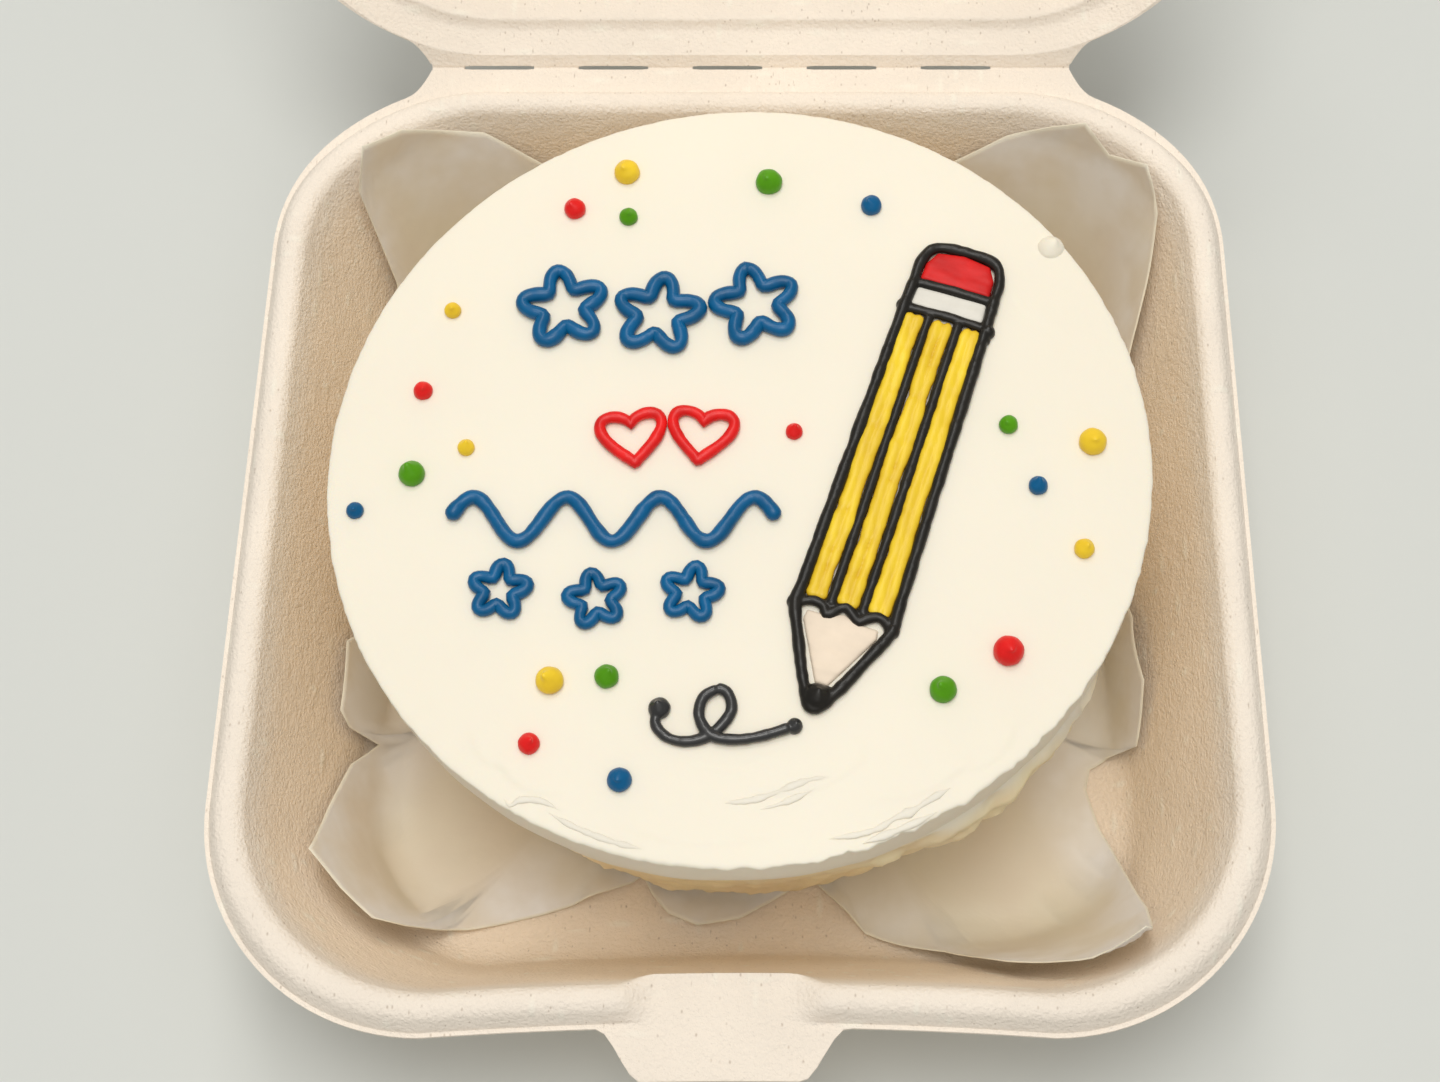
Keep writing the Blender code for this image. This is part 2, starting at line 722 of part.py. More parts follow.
def make_pencil_fill(colours, parts):
    point, body = PENCIL_POINT * 1000, PENCIL_BODY * 1000
    band, end = PENCIL_FERRULE * 1000, PENCIL_LENGTH * 1000
    rule = PENCIL_RULE * 1000
    gap = CLEARANCE * 1000 + PENCIL_INNER_LINE * 500 + 0.05
    side = CLEARANCE * 1000 + PENCIL_LINE * 500 + 0.1
    low_edge = PENCIL_HALF_LOW * 1000 - side - 0.15
    high_edge = PENCIL_HALF_HIGH * 1000 - side
    foot, head = point + 2.6, body - gap - 0.2
    middle = [(-rule + gap, foot), (rule - gap, foot), (rule - gap, head), (-rule + gap, head)]
    right = [(rule + gap, foot), (low_edge, foot), (high_edge, head), (rule + gap, head)]
    left = [(-across, along) for across, along in reversed(right)]
    for index, corners in enumerate((left, middle, right), start=1):
        pad(f"pencil_stripe_{index}", corners, 0.0011, colours["yellow"], parts)
    wood = [(-1.6, 6.6), (1.6, 6.6), (4.9, point - 1.3), (-4.9, point - 1.3)]
    pad("pencil_wood", wood, 0.0008, colours["wood"], parts)
    ferrule = [(-4.9, body + 1.4), (4.9, body + 1.4), (4.8, band - 1.2), (-4.8, band - 1.2)]
    pad("pencil_ferrule", ferrule, 0.0008, colours["white"], parts)
    eraser = [(-4.7, band + 1.4), (4.7, band + 1.4), (4.6, end - 4.4), (3.4, end - 2.7)]
    eraser += [(0.0, end - 2.3), (-3.4, end - 2.7), (-4.6, end - 4.4)]
    pad("pencil_eraser", eraser, 0.0011, colours["red"], parts)


def make_squiggle(black, parts, cutters, fused):
    first = [(-10.7, -36.6), (-11.2, -38.7), (-9.4, -40.7), (-6.4, -41.2), (-3.3, -40.0)]
    first += [(-0.9, -37.0), (-1.4, -34.3), (-3.2, -33.5)]
    second = [(-2.5, -33.6), (-4.7, -35.0), (-5.2, -37.8), (-3.5, -40.4), (-0.3, -41.0)]
    second += [(3.3, -40.5), (7.4, -39.2)]
    meshes = []
    for strand, lift in ((first, 0.0), (second, 0.12)):
        knots = [(x / 1000, y / 1000) for x, y in strand]
        path = smooth_path(knots, 3)
        meshes.append(rope("strand", path, 0.0015, 0.0013, cutters, swell=lift))
    meshes.append(drop_mesh("start", -0.0107, -0.0365, 0.0015, 0.0015))
    meshes.append(drop_mesh("end", 0.0078, -0.0390, 0.0011, 0.0012))
    return join_ropes("squiggle", meshes, black, parts, fused)


def make_motifs(colours, parts, cutters):
    """Plain piped shapes where the real cake carries its greeting."""
    blue, red = colours["blue"], colours["red"]
    stars = [(-26.8, 26.0, 6.2, 10), (-12.6, 24.8, 6.2, -8), (1.8, 26.5, 6.2, 14)]
    small = [(-33.6, -19.2, 4.0, -6), (-20.1, -20.5, 4.0, 12), (-6.7, -19.5, 4.0, -10)]
    for index, (x, y, radius, lean) in enumerate(stars + small, start=1):
        path = star_path(x / 1000, y / 1000, radius / 1000, math.radians(lean))
        width = BLUE_ROPE if index <= len(stars) else BLUE_ROPE * 0.85
        mesh = rope(f"star_{index}", path, width, width * 0.8, cutters, closed=True)
        place(f"star_{index}", mesh, blue, parts)
    for index, (x, y, lean) in enumerate([(-15.9, 5.0, 8), (-5.7, 5.4, -7)], start=1):
        path = heart_path(x / 1000, y / 1000, 0.0090, math.radians(lean))
        mesh = rope(f"heart_{index}", path, RED_ROPE, RED_ROPE * 0.8, cutters, closed=True)
        place(f"heart_{index}", mesh, red, parts)
    wave = []
    for step in range(WAVE_POINTS + 1):
        share = step / WAVE_POINTS
        x = -0.0415 + 0.0468 * share
        wave.append((x, -0.0084 + 0.0034 * math.sin(2 * math.pi * WAVE_PERIODS * share)))
    mesh = rope("wave", wave, BLUE_ROPE, BLUE_ROPE * 0.8, cutters)
    place("wave", mesh, blue, parts)


def build():
    clear_scene()
    parts = new_collection("bento_cake")
    cutters = new_collection("cutters", hidden=True)
    fused = new_collection("fused", hidden=True)
    pulp = new_material("pulp", (0.86, 0.80, 0.72), 0.85)
    paper = new_material("greaseproof", (0.80, 0.72, 0.62), 0.5)
    frosting = new_material("frosting", (0.96, 0.93, 0.84), 0.45)
    black = new_material("black_icing", (0.02, 0.02, 0.02), 0.3)
    colours = {
        "yellow": new_material("yellow_icing", (0.95, 0.72, 0.05), 0.35),
        "wood": new_material("pale_icing", (0.95, 0.86, 0.74), 0.45),
        "white": new_material("white_icing", (0.95, 0.93, 0.90), 0.45),
        "red": new_material("red_icing", (0.85, 0.06, 0.07), 0.35),
        "blue": new_material("blue_icing", (0.01, 0.18, 0.45), 0.3),
    }
    make_box(pulp, parts, cutters)
    make_paper(paper, parts)
    make_cake(frosting, parts, fused)
    make_pencil_outline(black, parts, cutters, fused)
    make_pencil_fill(colours, parts)
    make_squiggle(black, parts, cutters, fused)
    make_motifs(colours, parts, cutters)


build()
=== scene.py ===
"""Looks of a small iced cake in its moulded pulp box.

Laid out as an add-on: every piece has its own operator, and the panel lists them.
Metres, +Z up, the front of the box towards -Y.
"""

import json
import math

import bmesh
import bpy
from mathutils import Matrix, Vector, noise


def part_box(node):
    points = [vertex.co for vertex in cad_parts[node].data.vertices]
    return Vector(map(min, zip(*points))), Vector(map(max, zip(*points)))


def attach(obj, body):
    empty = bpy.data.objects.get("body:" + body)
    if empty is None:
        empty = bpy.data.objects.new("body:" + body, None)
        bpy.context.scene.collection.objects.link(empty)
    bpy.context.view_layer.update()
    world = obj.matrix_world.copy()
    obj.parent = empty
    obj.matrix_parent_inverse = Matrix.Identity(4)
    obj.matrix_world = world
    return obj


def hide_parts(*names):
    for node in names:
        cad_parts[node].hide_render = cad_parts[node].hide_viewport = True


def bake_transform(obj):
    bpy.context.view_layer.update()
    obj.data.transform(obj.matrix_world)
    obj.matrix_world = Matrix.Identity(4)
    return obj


bl_info = {
    "name": "Bento cake",
    "version": (1, 0, 0),
    "blender": (4, 5, 0),
    "location": "View3D > Sidebar > Bento cake",
    "description": "An iced cake on greaseproof paper in an open pulp box",
    "category": "Object",
}

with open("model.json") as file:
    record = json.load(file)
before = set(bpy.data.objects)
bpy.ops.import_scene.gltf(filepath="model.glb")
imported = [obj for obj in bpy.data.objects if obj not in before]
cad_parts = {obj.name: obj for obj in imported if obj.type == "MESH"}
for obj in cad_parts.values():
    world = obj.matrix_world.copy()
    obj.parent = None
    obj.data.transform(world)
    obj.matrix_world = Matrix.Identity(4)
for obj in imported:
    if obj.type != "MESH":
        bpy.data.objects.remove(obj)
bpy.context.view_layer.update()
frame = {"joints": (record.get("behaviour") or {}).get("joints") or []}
JOINT = frame["joints"][0]
HINGE = Vector(JOINT["pos_m"])
LID_OPENING = math.radians(JOINT["range_deg"][1])

# Gap that the solids keep to each other, and the planes that the pieces lie on
CLEARANCE = 0.0003
WALL = 0.0009
PAPER_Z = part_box("paper_liner")[0].z + 0.00015
CAKE_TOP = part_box("star_1")[0].z - CLEARANCE
CAKE_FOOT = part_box("cake")[0].z
LIP_Z = HINGE.z - CLEARANCE / 2

# Plan of the box, and its base
HALF_X = 0.0760
HALF_Y = 0.0784
CORNER_RADIUS = 0.0326
CORNER_SHARPENING = 0.7
FRONT_BOW = 0.0015
LIP_WIDTH = 0.0006
BEAD_RISE = 0.0027
WALL_INSET = 0.0061
WALL_TAPER = 0.318
FLOOR_FILLET = 0.0065
BEAD = [(LIP_WIDTH, 0.0), (0.0013, 0.42), (0.0021, 0.82), (0.0031, 1.0), (0.0042, 0.99)]
BEAD += [(0.0050, 0.88), (0.0057, 0.60), (WALL_INSET, 0.2)]

# Steps down a wall and round a fillet, and how uneven the moulded fibre is
WALL_STEPS = 12
FILLET_STEPS = 9
RIM_UNEVENNESS = 0.00009
WALL_UNEVENNESS = 0.00022

# Hinge strips and tab
NECK_HALF = 0.0530
NECK_FILLET = 0.0040
EDGE_SET_IN = 0.0012
BEAD_SET_IN = 0.0025
SLOT_COUNT = 5
SLOT_LENGTH = 0.0116
SLOT_PITCH = 0.0190
SLOT_MIDDLE = -0.0039
SLOT_NOTCH = 0.00010
TAB_X = -0.0021
TAB_REACH = 0.0072
TAB_END_HALF = 0.0108
TAB_ROOT_HALF = 0.0172
TAB_SET_IN = 0.0012
TAB_SET_IN_DEPTH = 0.0060
BEAD_GAP_HALF = 0.0092
BEAD_GAP_RAMP = 0.0055

# Lid
LID_LIP = 0.0006
LID_DEPTH = 0.0335
LID_WALL_INSET = 0.0073
LID_WALL_TAPER = 0.300
LID_FILLET = 0.0080
LID_CHANNEL = [(0.0004, 0.0), (0.0012, 0.0024), (0.0027, 0.0034), (0.0043, 0.0035)]
LID_CHANNEL += [(0.0056, 0.0026), (0.0065, 0.0010), (LID_WALL_INSET, 0.0012)]

# At the hinge the lid rises in a slope and a narrow step instead of a channel
LID_STEP = [(0.0004, 0.0), (0.0013, 0.0011), (0.0023, 0.0024), (0.0032, 0.0034)]
LID_STEP += [(0.0041, 0.0037), (0.0050, 0.0038), (0.0055, 0.0045)]

# Paper
PAPER_BEND = 0.0056
PAPER_FLAT_END = 0.0054
PAPER_STANDOFF = 0.0022
PAPER_CREASE = 0.0007
PAPER_RIPPLE = 0.0003

# Cake
CAKE_X = -0.0001
CAKE_Y = 0.0013
CAKE_RADIUS = 0.0597
CAKE_OVAL = 0.009
CAKE_OVAL_ANGLE = math.radians(60)
FROSTING_BAND = 0.0090

# How far the frosting's side is dragged, crumbed, streaked and swollen, and the top's unevenness
SIDE_DRAG = 0.00045
SIDE_CRUMB = 0.00028
SIDE_STREAK = 0.00075
SIDE_SWELL = 0.0033
BAND_SMEAR = 0.00022
TOP_WAVE = 0.00012

# Steps between points along piped lines
ROPE_STEP = 0.0004
LINE_STEP = 0.0005

# Pencil, measured from its tip along its length and across it
PENCIL_X = 0.0100
PENCIL_Y = -0.0374
PENCIL_LEAN = math.radians(17.9)
STRIPE_RISE = 0.00108

# X, Y and width of each piped dot, in millimetres, by colour
DOTS = {
    "yellow": [
        (-18.2, 49.7, 3.9), (-43.3, 25.6, 2.5), (-39.8, 3.0, 2.5),
        (50.8, 3.9, 4.0), (48.7, -12.8, 2.9), (-25.9, -32.5, 3.9),
    ],
    "green": [
        (3.6, 47.9, 4.1), (-17.7, 41.8, 2.8), (-47.3, -1.2, 3.8),
        (38.7, 6.7, 2.8), (-18.1, -31.9, 3.4), (28.2, -33.8, 3.8),
    ],
    "red": [
        (-25.9, 43.2, 3.3), (-46.7, 12.2, 2.8), (7.6, 5.6, 2.5),
        (37.4, -28.2, 4.3), (-28.3, -41.5, 3.0),
    ],
    "blue": [
        (19.2, 43.8, 3.2), (-55.0, -6.9, 2.5), (42.6, -3.0, 2.8), (-15.8, -46.6, 3.4),
    ],
}


def colour(name, text, default):
    return bpy.props.FloatVectorProperty(
        name=name, description=text, subtype="COLOR", size=3, min=0.0, max=1.0, default=default
    )


def length(name, text, default):
    return bpy.props.FloatProperty(
        name=name, description=text, unit="LENGTH", precision=5, default=default
    )


class BentoBoxSettings(bpy.types.PropertyGroup):
    pulp: colour("Pulp", "Colour of the moulded fibre", (0.955, 0.86, 0.745))
    # Well: painted shade, a warmer and darker colour for the fibre down in the tray, standing in
    # for the light bounced round inside the box
    well_shade: colour("Well", "Colour of the fibre down in the tray", (0.95, 0.81, 0.65))
    fleck: colour("Flecks", "Colour of the dark specks in the fibre", (0.34, 0.24, 0.16))
    wall: length("Wall", "Thickness of the pulp", WALL)
    roughness: bpy.props.FloatProperty(
        name="Roughness", description="Roughness of the pulp", default=0.85, subtype="FACTOR"
    )


class BentoPaperSettings(bpy.types.PropertyGroup):
    tint: colour("Paper", "Colour of the greaseproof paper", (1.0, 0.885, 0.72))
    frosty: colour("Frosty", "Colour of the paper towards its edge", (0.97, 0.95, 0.93))
    opacity: bpy.props.FloatProperty(
        name="Opacity", description="How much the paper hides", default=0.66, subtype="FACTOR"
    )
    thickness: length("Thickness", "Thickness of the sheet", 0.00014)


class BentoIcingSettings(bpy.types.PropertyGroup):
    ivory: colour("Top", "Frosting on the top", (0.93, 0.865, 0.72))
    butter: colour("Side", "Frosting low on the side", (0.99, 0.81, 0.52))
    black: colour("Black", "Outline icing", (0.016, 0.014, 0.011))
    yellow: colour("Yellow", "Stripe icing", (1.0, 0.655, 0.03))
    red: colour("Red", "Red icing", (0.85, 0.012, 0.011))
    blue: colour("Blue", "Blue icing", (0.0, 0.115, 0.29))
    green: colour("Green", "Green icing", (0.095, 0.36, 0.002))
    white: colour("White", "Band icing", (0.80, 0.77, 0.69))
    wood: colour("Wood", "Pale icing near the pencil's point", (0.90, 0.76, 0.60))
    blue_width: length("Blue line", "Width of the blue lines", 0.0021)
    red_width: length("Red line", "Width of the red lines", 0.0017)


class BentoStageSettings(bpy.types.PropertyGroup):
    floor: colour("Floor", "Colour of the floor", (0.72, 0.74, 0.71))
    key: bpy.props.FloatProperty(name="Key", description="Power of the main light", default=1.3)
    high: bpy.props.FloatProperty(name="High", description="Power of the steep light", default=2.9)
    top: bpy.props.FloatProperty(name="Top", description="Power of the broad light", default=2.8)
    sky: bpy.props.FloatProperty(name="Sky", description="Strength of the even light", default=0.36)


# Small helpers


def ease(value):
    """A smooth step from 0 to 1 as value goes from 0 to 1."""
    value = min(1.0, max(0.0, value))
    return value * value * (3 - 2 * value)


def hump(value, middle, spread):
    return math.exp(-(((value - middle) / spread) ** 2))


def through(knots, steps, closed=False):
    """Points along a smooth curve through knots, steps of them between each two."""
    count = len(knots)
    points = []
    for span in range(count if closed else count - 1):
        around = []
        for offset in (-1, 0, 1, 2):
            index = span + offset
            index = index % count if closed else min(max(index, 0), count - 1)
            around.append(Vector(knots[index]))
        before, start, end, after = around
        for step in range(steps):
            t = step / steps
            bend = (end - before) * t + (2 * before - 5 * start + 4 * end - after) * t * t
            bend += (3 * start - before - 3 * end + after) * t**3
            points.append(start + bend / 2)
    if not closed:
        points.append(Vector(knots[-1]))
    return points


def place(name, mesh, material):
    obj = bpy.data.objects.new(name, mesh)
    if material:
        mesh.materials.clear()
        mesh.materials.append(material)
    bpy.context.scene.collection.objects.link(obj)
    return obj


def from_bmesh(name, bm, material, sharp=50.0):
    mesh = bpy.data.meshes.new(name)
    bm.to_mesh(mesh)
    bm.free()
    mesh.shade_smooth()
    mesh.set_sharp_from_angle(angle=math.radians(sharp))
    return place(name, mesh, material)


def evaluated_mesh(obj):
    """The mesh of an object with its modifiers or its bevel made real; obj is removed."""
    bpy.context.view_layer.update()
    graph = bpy.context.evaluated_depsgraph_get()
    mesh = bpy.data.meshes.new_from_object(obj.evaluated_get(graph))
    bpy.data.objects.remove(obj, do_unlink=True)
    return mesh


# Shader groups that several materials use


def add_node(tree, kind, inputs=None, **settings):
    made = tree.nodes.new(kind)
    for key, value in settings.items():
        setattr(made, key, value)
    for socket, value in (inputs or {}).items():
        if isinstance(value, bpy.types.NodeSocket):
            tree.links.new(value, made.inputs[socket])
        else:
            made.inputs[socket].default_value = value
    return made


def add_noise(tree, spot, scale, detail):
    field = add_node(
        tree, "ShaderNodeTexNoise", {"Vector": spot, "Scale": scale, "Detail": detail}
    )
    return field.outputs["Fac"]


def add_math(tree, operation, *values):
    return add_node(
        tree, "ShaderNodeMath", dict(enumerate(values)), operation=operation
    ).outputs[0]


def new_group(name, inputs, outputs):
    group = bpy.data.node_groups.new(name, "ShaderNodeTree")
    for label, kind, default in inputs:
        socket = group.interface.new_socket(label, in_out="INPUT", socket_type=kind)
        if default is not None:
            socket.default_value = default
    for label, kind in outputs:
        group.interface.new_socket(label, in_out="OUTPUT", socket_type=kind)
    given = group.nodes.new("NodeGroupInput").outputs
    return group, given, group.nodes.new("NodeGroupOutput").inputs


def mottle_group():
    """A slow drift between two colours."""
    name = "Mottle"
    if name in bpy.data.node_groups:
        return bpy.data.node_groups[name]
    ins = [("Vector", "NodeSocketVector", None), ("Scale", "NodeSocketFloat", 60.0)]
    ins += [("First", "NodeSocketColor", None), ("Second", "NodeSocketColor", None)]
    tree, given, out = new_group(name, ins, [("Color", "NodeSocketColor")])
    field = add_noise(tree, given["Vector"], given["Scale"], 4.0)
    ramp = add_node(
        tree, "ShaderNodeMapRange",
        {"Value": field, "From Min": 0.32, "From Max": 0.68},
    )
    mix = add_node(tree, "ShaderNodeMix", {"Factor": ramp.outputs["Result"]}, data_type="RGBA")
    tree.links.new(given["First"], mix.inputs[6])
    tree.links.new(given["Second"], mix.inputs[7])
    tree.links.new(mix.outputs[2], out["Color"])
    return tree


def fibre_group():
    """Sparse short strokes: a mask of the cells of a stretched pattern."""
    name = "Fibres"
    if name in bpy.data.node_groups:
        return bpy.data.node_groups[name]
    ins = [("Vector", "NodeSocketVector", None), ("Scale", "NodeSocketFloat", 400.0)]
    ins += [("Stretch", "NodeSocketVector", (1.0, 1.0, 1.0))]
    ins += [("Turn", "NodeSocketVector", (0.0, 0.0, 0.0))]
    ins += [("Share", "NodeSocketFloat", 0.1), ("Size", "NodeSocketFloat", 0.3)]
    tree, given, out = new_group(name, ins, [("Mask", "NodeSocketFloat")])
    turned = add_node(
        tree, "ShaderNodeMapping",
        {"Vector": given["Vector"], "Rotation": given["Turn"], "Scale": given["Stretch"]},
    )
    cells = add_node(
        tree, "ShaderNodeTexVoronoi", {"Vector": turned.outputs["Vector"], "Scale": given["Scale"]}
    )
    chosen = add_math(tree, "LESS_THAN", cells.outputs["Color"], given["Share"])
    near = add_node(
        tree, "ShaderNodeMapRange",
        {"Value": cells.outputs["Distance"], "From Min": given["Size"], "From Max": 0.0},
        interpolation_type="SMOOTHSTEP",
    )
    both = add_math(tree, "MULTIPLY", chosen, near.outputs["Result"])
    tree.links.new(both, out["Mask"])
    return tree


def grain_group():
    """Height of a surface with a coarse and a fine unevenness."""
    name = "Grain"
    if name in bpy.data.node_groups:
        return bpy.data.node_groups[name]
    ins = [("Vector", "NodeSocketVector", None), ("Coarse", "NodeSocketFloat", 300.0)]
    ins += [("Fine", "NodeSocketFloat", 1800.0), ("Fine share", "NodeSocketFloat", 0.4)]
    tree, given, out = new_group(name, ins, [("Height", "NodeSocketFloat")])
    broad = add_noise(tree, given["Vector"], given["Coarse"], 3.0)
    small = add_noise(tree, given["Vector"], given["Fine"], 4.0)
    blend = {"Factor": given["Fine share"], 2: broad, 3: small}
    mix = add_node(tree, "ShaderNodeMix", blend, data_type="FLOAT")
    tree.links.new(mix.outputs[0], out["Height"])
    return tree


def use_group(tree, group, inputs):
    return add_node(tree, "ShaderNodeGroup", inputs, node_tree=group)


def new_material(name):
    """An empty material: its tree, its shader and the place of each point."""
    material = bpy.data.materials.new(name)
    material.use_nodes = True
    tree = material.node_tree
    shader = tree.nodes["Principled BSDF"]
    spot = tree.nodes.new("ShaderNodeTexCoord").outputs["Object"]
    return material, tree, shader, spot


def add_bump(tree, shader, height, strength, distance):
    bump = add_node(
        tree, "ShaderNodeBump", {"Height": height, "Strength": strength, "Distance": distance}
    )
    tree.links.new(bump.outputs["Normal"], shader.inputs["Normal"])


def mixed(tree, mask, under, over):
    """Colour under, with colour over where the mask is 1."""
    mix = add_node(tree, "ShaderNodeMix", {"Factor": mask}, data_type="RGBA")
    for index, value in ((6, under), (7, over)):
        if isinstance(value, bpy.types.NodeSocket):
            tree.links.new(value, mix.inputs[index])
        else:
            mix.inputs[index].default_value = (*value, 1.0)
    return mix.outputs[2]


def height_of(tree, spot):
    return add_node(tree, "ShaderNodeSeparateXYZ", {"Vector": spot}).outputs["Z"]


def shaded(tint, factor):
    return tuple(min(1.0, part * factor) for part in tint)


def mottled(tree, spot, scale, tint, darker, lighter):
    """A tint that drifts between a darker and a lighter share of itself."""
    return use_group(tree, mottle_group(), {
        "Vector": spot, "Scale": scale,
        "First": (*shaded(tint, darker), 1), "Second": (*shaded(tint, lighter), 1),
    }).outputs["Color"]


def pulp_material():
    name = "moulded_pulp"
    if name in bpy.data.materials:
        return bpy.data.materials[name]
    settings = bpy.context.scene.bento_box
    tint, well_shade, fleck = tuple(settings.pulp), tuple(settings.well_shade), tuple(settings.fleck)
    material, tree, shader, spot = new_material(name)
    # Down in the tray the fibre takes the well colour: painted shade, standing in for the warm
    # light that bounces round inside the box
    rim, tray = (mottled(tree, spot, 55.0, shade, 0.965, 1.03) for shade in (tint, well_shade))
    well_shade_share = add_node(
        tree, "ShaderNodeMapRange",
        {"Value": height_of(tree, spot), "From Min": LIP_Z + 0.001, "From Max": LIP_Z - 0.006},
        interpolation_type="SMOOTHSTEP",
    ).outputs["Result"]
    base = mixed(tree, well_shade_share, rim, tray)
    pale = use_group(tree, fibre_group(), {
        "Vector": spot, "Scale": 520.0, "Stretch": (1.0, 0.28, 0.6), "Turn": (0.2, 0.1, 0.5),
        "Share": 0.30, "Size": 0.42,
    }).outputs["Mask"]
    pale_too = use_group(tree, fibre_group(), {
        "Vector": spot, "Scale": 450.0, "Stretch": (0.3, 1.0, 0.6), "Turn": (0.1, 0.3, -0.4),
        "Share": 0.30, "Size": 0.42,
    }).outputs["Mask"]
    specks = use_group(tree, fibre_group(), {
        "Vector": spot, "Scale": 1000.0, "Stretch": (1.0, 0.6, 1.0), "Share": 0.34, "Size": 0.25,
    }).outputs["Mask"]
    strokes = use_group(tree, fibre_group(), {
        "Vector": spot, "Scale": 1100.0, "Stretch": (1.0, 0.24, 0.8), "Turn": (0.0, 0.2, -0.9),
        "Share": 0.26, "Size": 0.20,
    }).outputs["Mask"]
    light = add_math(tree, "MULTIPLY", add_math(tree, "MAXIMUM", pale, pale_too), 0.48)
    dark = add_math(tree, "MULTIPLY", add_math(tree, "MAXIMUM", specks, strokes), 0.50)
    blended = mixed(tree, light, base, shaded(tint, 1.12))
    blended = mixed(tree, dark, blended, fleck)
    tree.links.new(blended, shader.inputs["Base Color"])
    shader.inputs["Roughness"].default_value = settings.roughness
    shader.inputs["Specular IOR Level"].default_value = 0.25
    grain = use_group(tree, grain_group(), {
        "Vector": spot, "Coarse": 500.0, "Fine": 1900.0, "Fine share": 0.55,
    }).outputs["Height"]
    add_bump(tree, shader, add_math(tree, "MULTIPLY_ADD", light, 0.35, grain), 0.85, 0.0006)
    return material


def paper_material():
    settings = bpy.context.scene.bento_paper
    tint = tuple(settings.tint)
    material, tree, shader, spot = new_material("greaseproof_paper")
    body = mottled(tree, spot, 45.0, tint, 0.96, 1.05)
    edge = tree.nodes.new("ShaderNodeAttribute")
    edge.attribute_name = "edge"
    outer = tree.nodes.new("ShaderNodeAttribute")
    outer.attribute_name = "outer"
    blotch = add_noise(tree, spot, 75.0, 3.0)
    clear = add_node(
        tree, "ShaderNodeMapRange",
        {"Value": blotch, "From Min": 0.38, "From Max": 0.60, "To Min": 0.35},
    ).outputs["Result"]
    frosty = add_math(tree, "MULTIPLY", outer.outputs["Fac"], clear)
    tinted = mixed(tree, frosty, body, tuple(settings.frosty))
    tinted = mixed(tree, edge.outputs["Fac"], tinted, shaded(tint, 1.06))
    tree.links.new(tinted, shader.inputs["Base Color"])
    cover = add_math(tree, "MAXIMUM", frosty, edge.outputs["Fac"])
    alpha = add_node(
        tree, "ShaderNodeMapRange", {"Value": cover, "To Min": settings.opacity, "To Max": 0.88}
    )
    tree.links.new(alpha.outputs["Result"], shader.inputs["Alpha"])
    shader.inputs["Roughness"].default_value = 0.42
    shader.inputs["Specular IOR Level"].default_value = 0.4
    grain = use_group(tree, grain_group(), {
        "Vector": spot, "Coarse": 110.0, "Fine": 700.0, "Fine share": 0.2,
    }).outputs["Height"]
    add_bump(tree, shader, grain, 0.25, 0.0006)
    return material


def frosting_material():
    settings = bpy.context.scene.bento_icing
    ivory, butter = tuple(settings.ivory), tuple(settings.butter)
    material, tree, shader, spot = new_material("buttercream")
    top = mottled(tree, spot, 28.0, ivory, 0.985, 1.01)
    low = mottled(tree, spot, 160.0, butter, 0.93, 1.06)
    wander = add_noise(tree, spot, 70.0, 2.0)
    border = add_math(tree, "MULTIPLY_ADD", wander, 0.004, height_of(tree, spot))
    ledge = CAKE_TOP - FROSTING_BAND + 0.002
    below = add_node(
        tree, "ShaderNodeMapRange",
        {"Value": border, "From Min": ledge + 0.0012, "From Max": ledge - 0.0012},
        interpolation_type="SMOOTHSTEP",
    ).outputs["Result"]
    tree.links.new(mixed(tree, below, top, low), shader.inputs["Base Color"])
    shader.inputs["Roughness"].default_value = 0.5
    shader.inputs["Subsurface Weight"].default_value = 0.12
    shader.inputs["Subsurface Radius"].default_value = (1.0, 0.7, 0.4)
    shader.inputs["Subsurface Scale"].default_value = 0.003
    grain = use_group(tree, grain_group(), {
        "Vector": spot, "Coarse": 90.0, "Fine": 900.0, "Fine share": 0.25,
    }).outputs["Height"]
    add_bump(tree, shader, grain, 0.18, 0.0005)
    return material


def icing_material(
    name, tint, roughness=0.36, drift=0.12, stretch=(1.0, 1.0, 1.0), turn=0.0, low=None
):
    """Piped icing: a colour that drifts along the way it was drawn, and, where low is given,
    painted shade in the low colour where the icing lies low.
    """
    material, tree, shader, spot = new_material(name)
    along = add_node(
        tree, "ShaderNodeMapping", {"Vector": spot, "Rotation": (0.0, 0.0, turn), "Scale": stretch}
    ).outputs["Vector"]
    body = mottled(tree, along, 260.0, tint, 1 - drift, 1 + drift / 2)
    # Painted shade: the low colour darkens the icing towards its foot, where its lit crown gives
    # way to shade
    if low:
        depth = add_node(
            tree, "ShaderNodeMapRange",
            {
                "Value": height_of(tree, spot),
                "From Min": CAKE_TOP + STRIPE_RISE, "From Max": CAKE_TOP + STRIPE_RISE * 0.45,
            },
            interpolation_type="SMOOTHSTEP",
        ).outputs["Result"]
        body = mixed(tree, depth, body, low)
    tree.links.new(body, shader.inputs["Base Color"])
    shader.inputs["Roughness"].default_value = roughness
    shader.inputs["Specular IOR Level"].default_value = 0.32
    grain = use_group(tree, grain_group(), {
        "Vector": along, "Coarse": 380.0, "Fine": 1500.0, "Fine share": 0.3,
    }).outputs["Height"]
    add_bump(tree, shader, grain, 0.22, 0.0003)
    return material


# Plan of the box, as in the solids but with finer steps


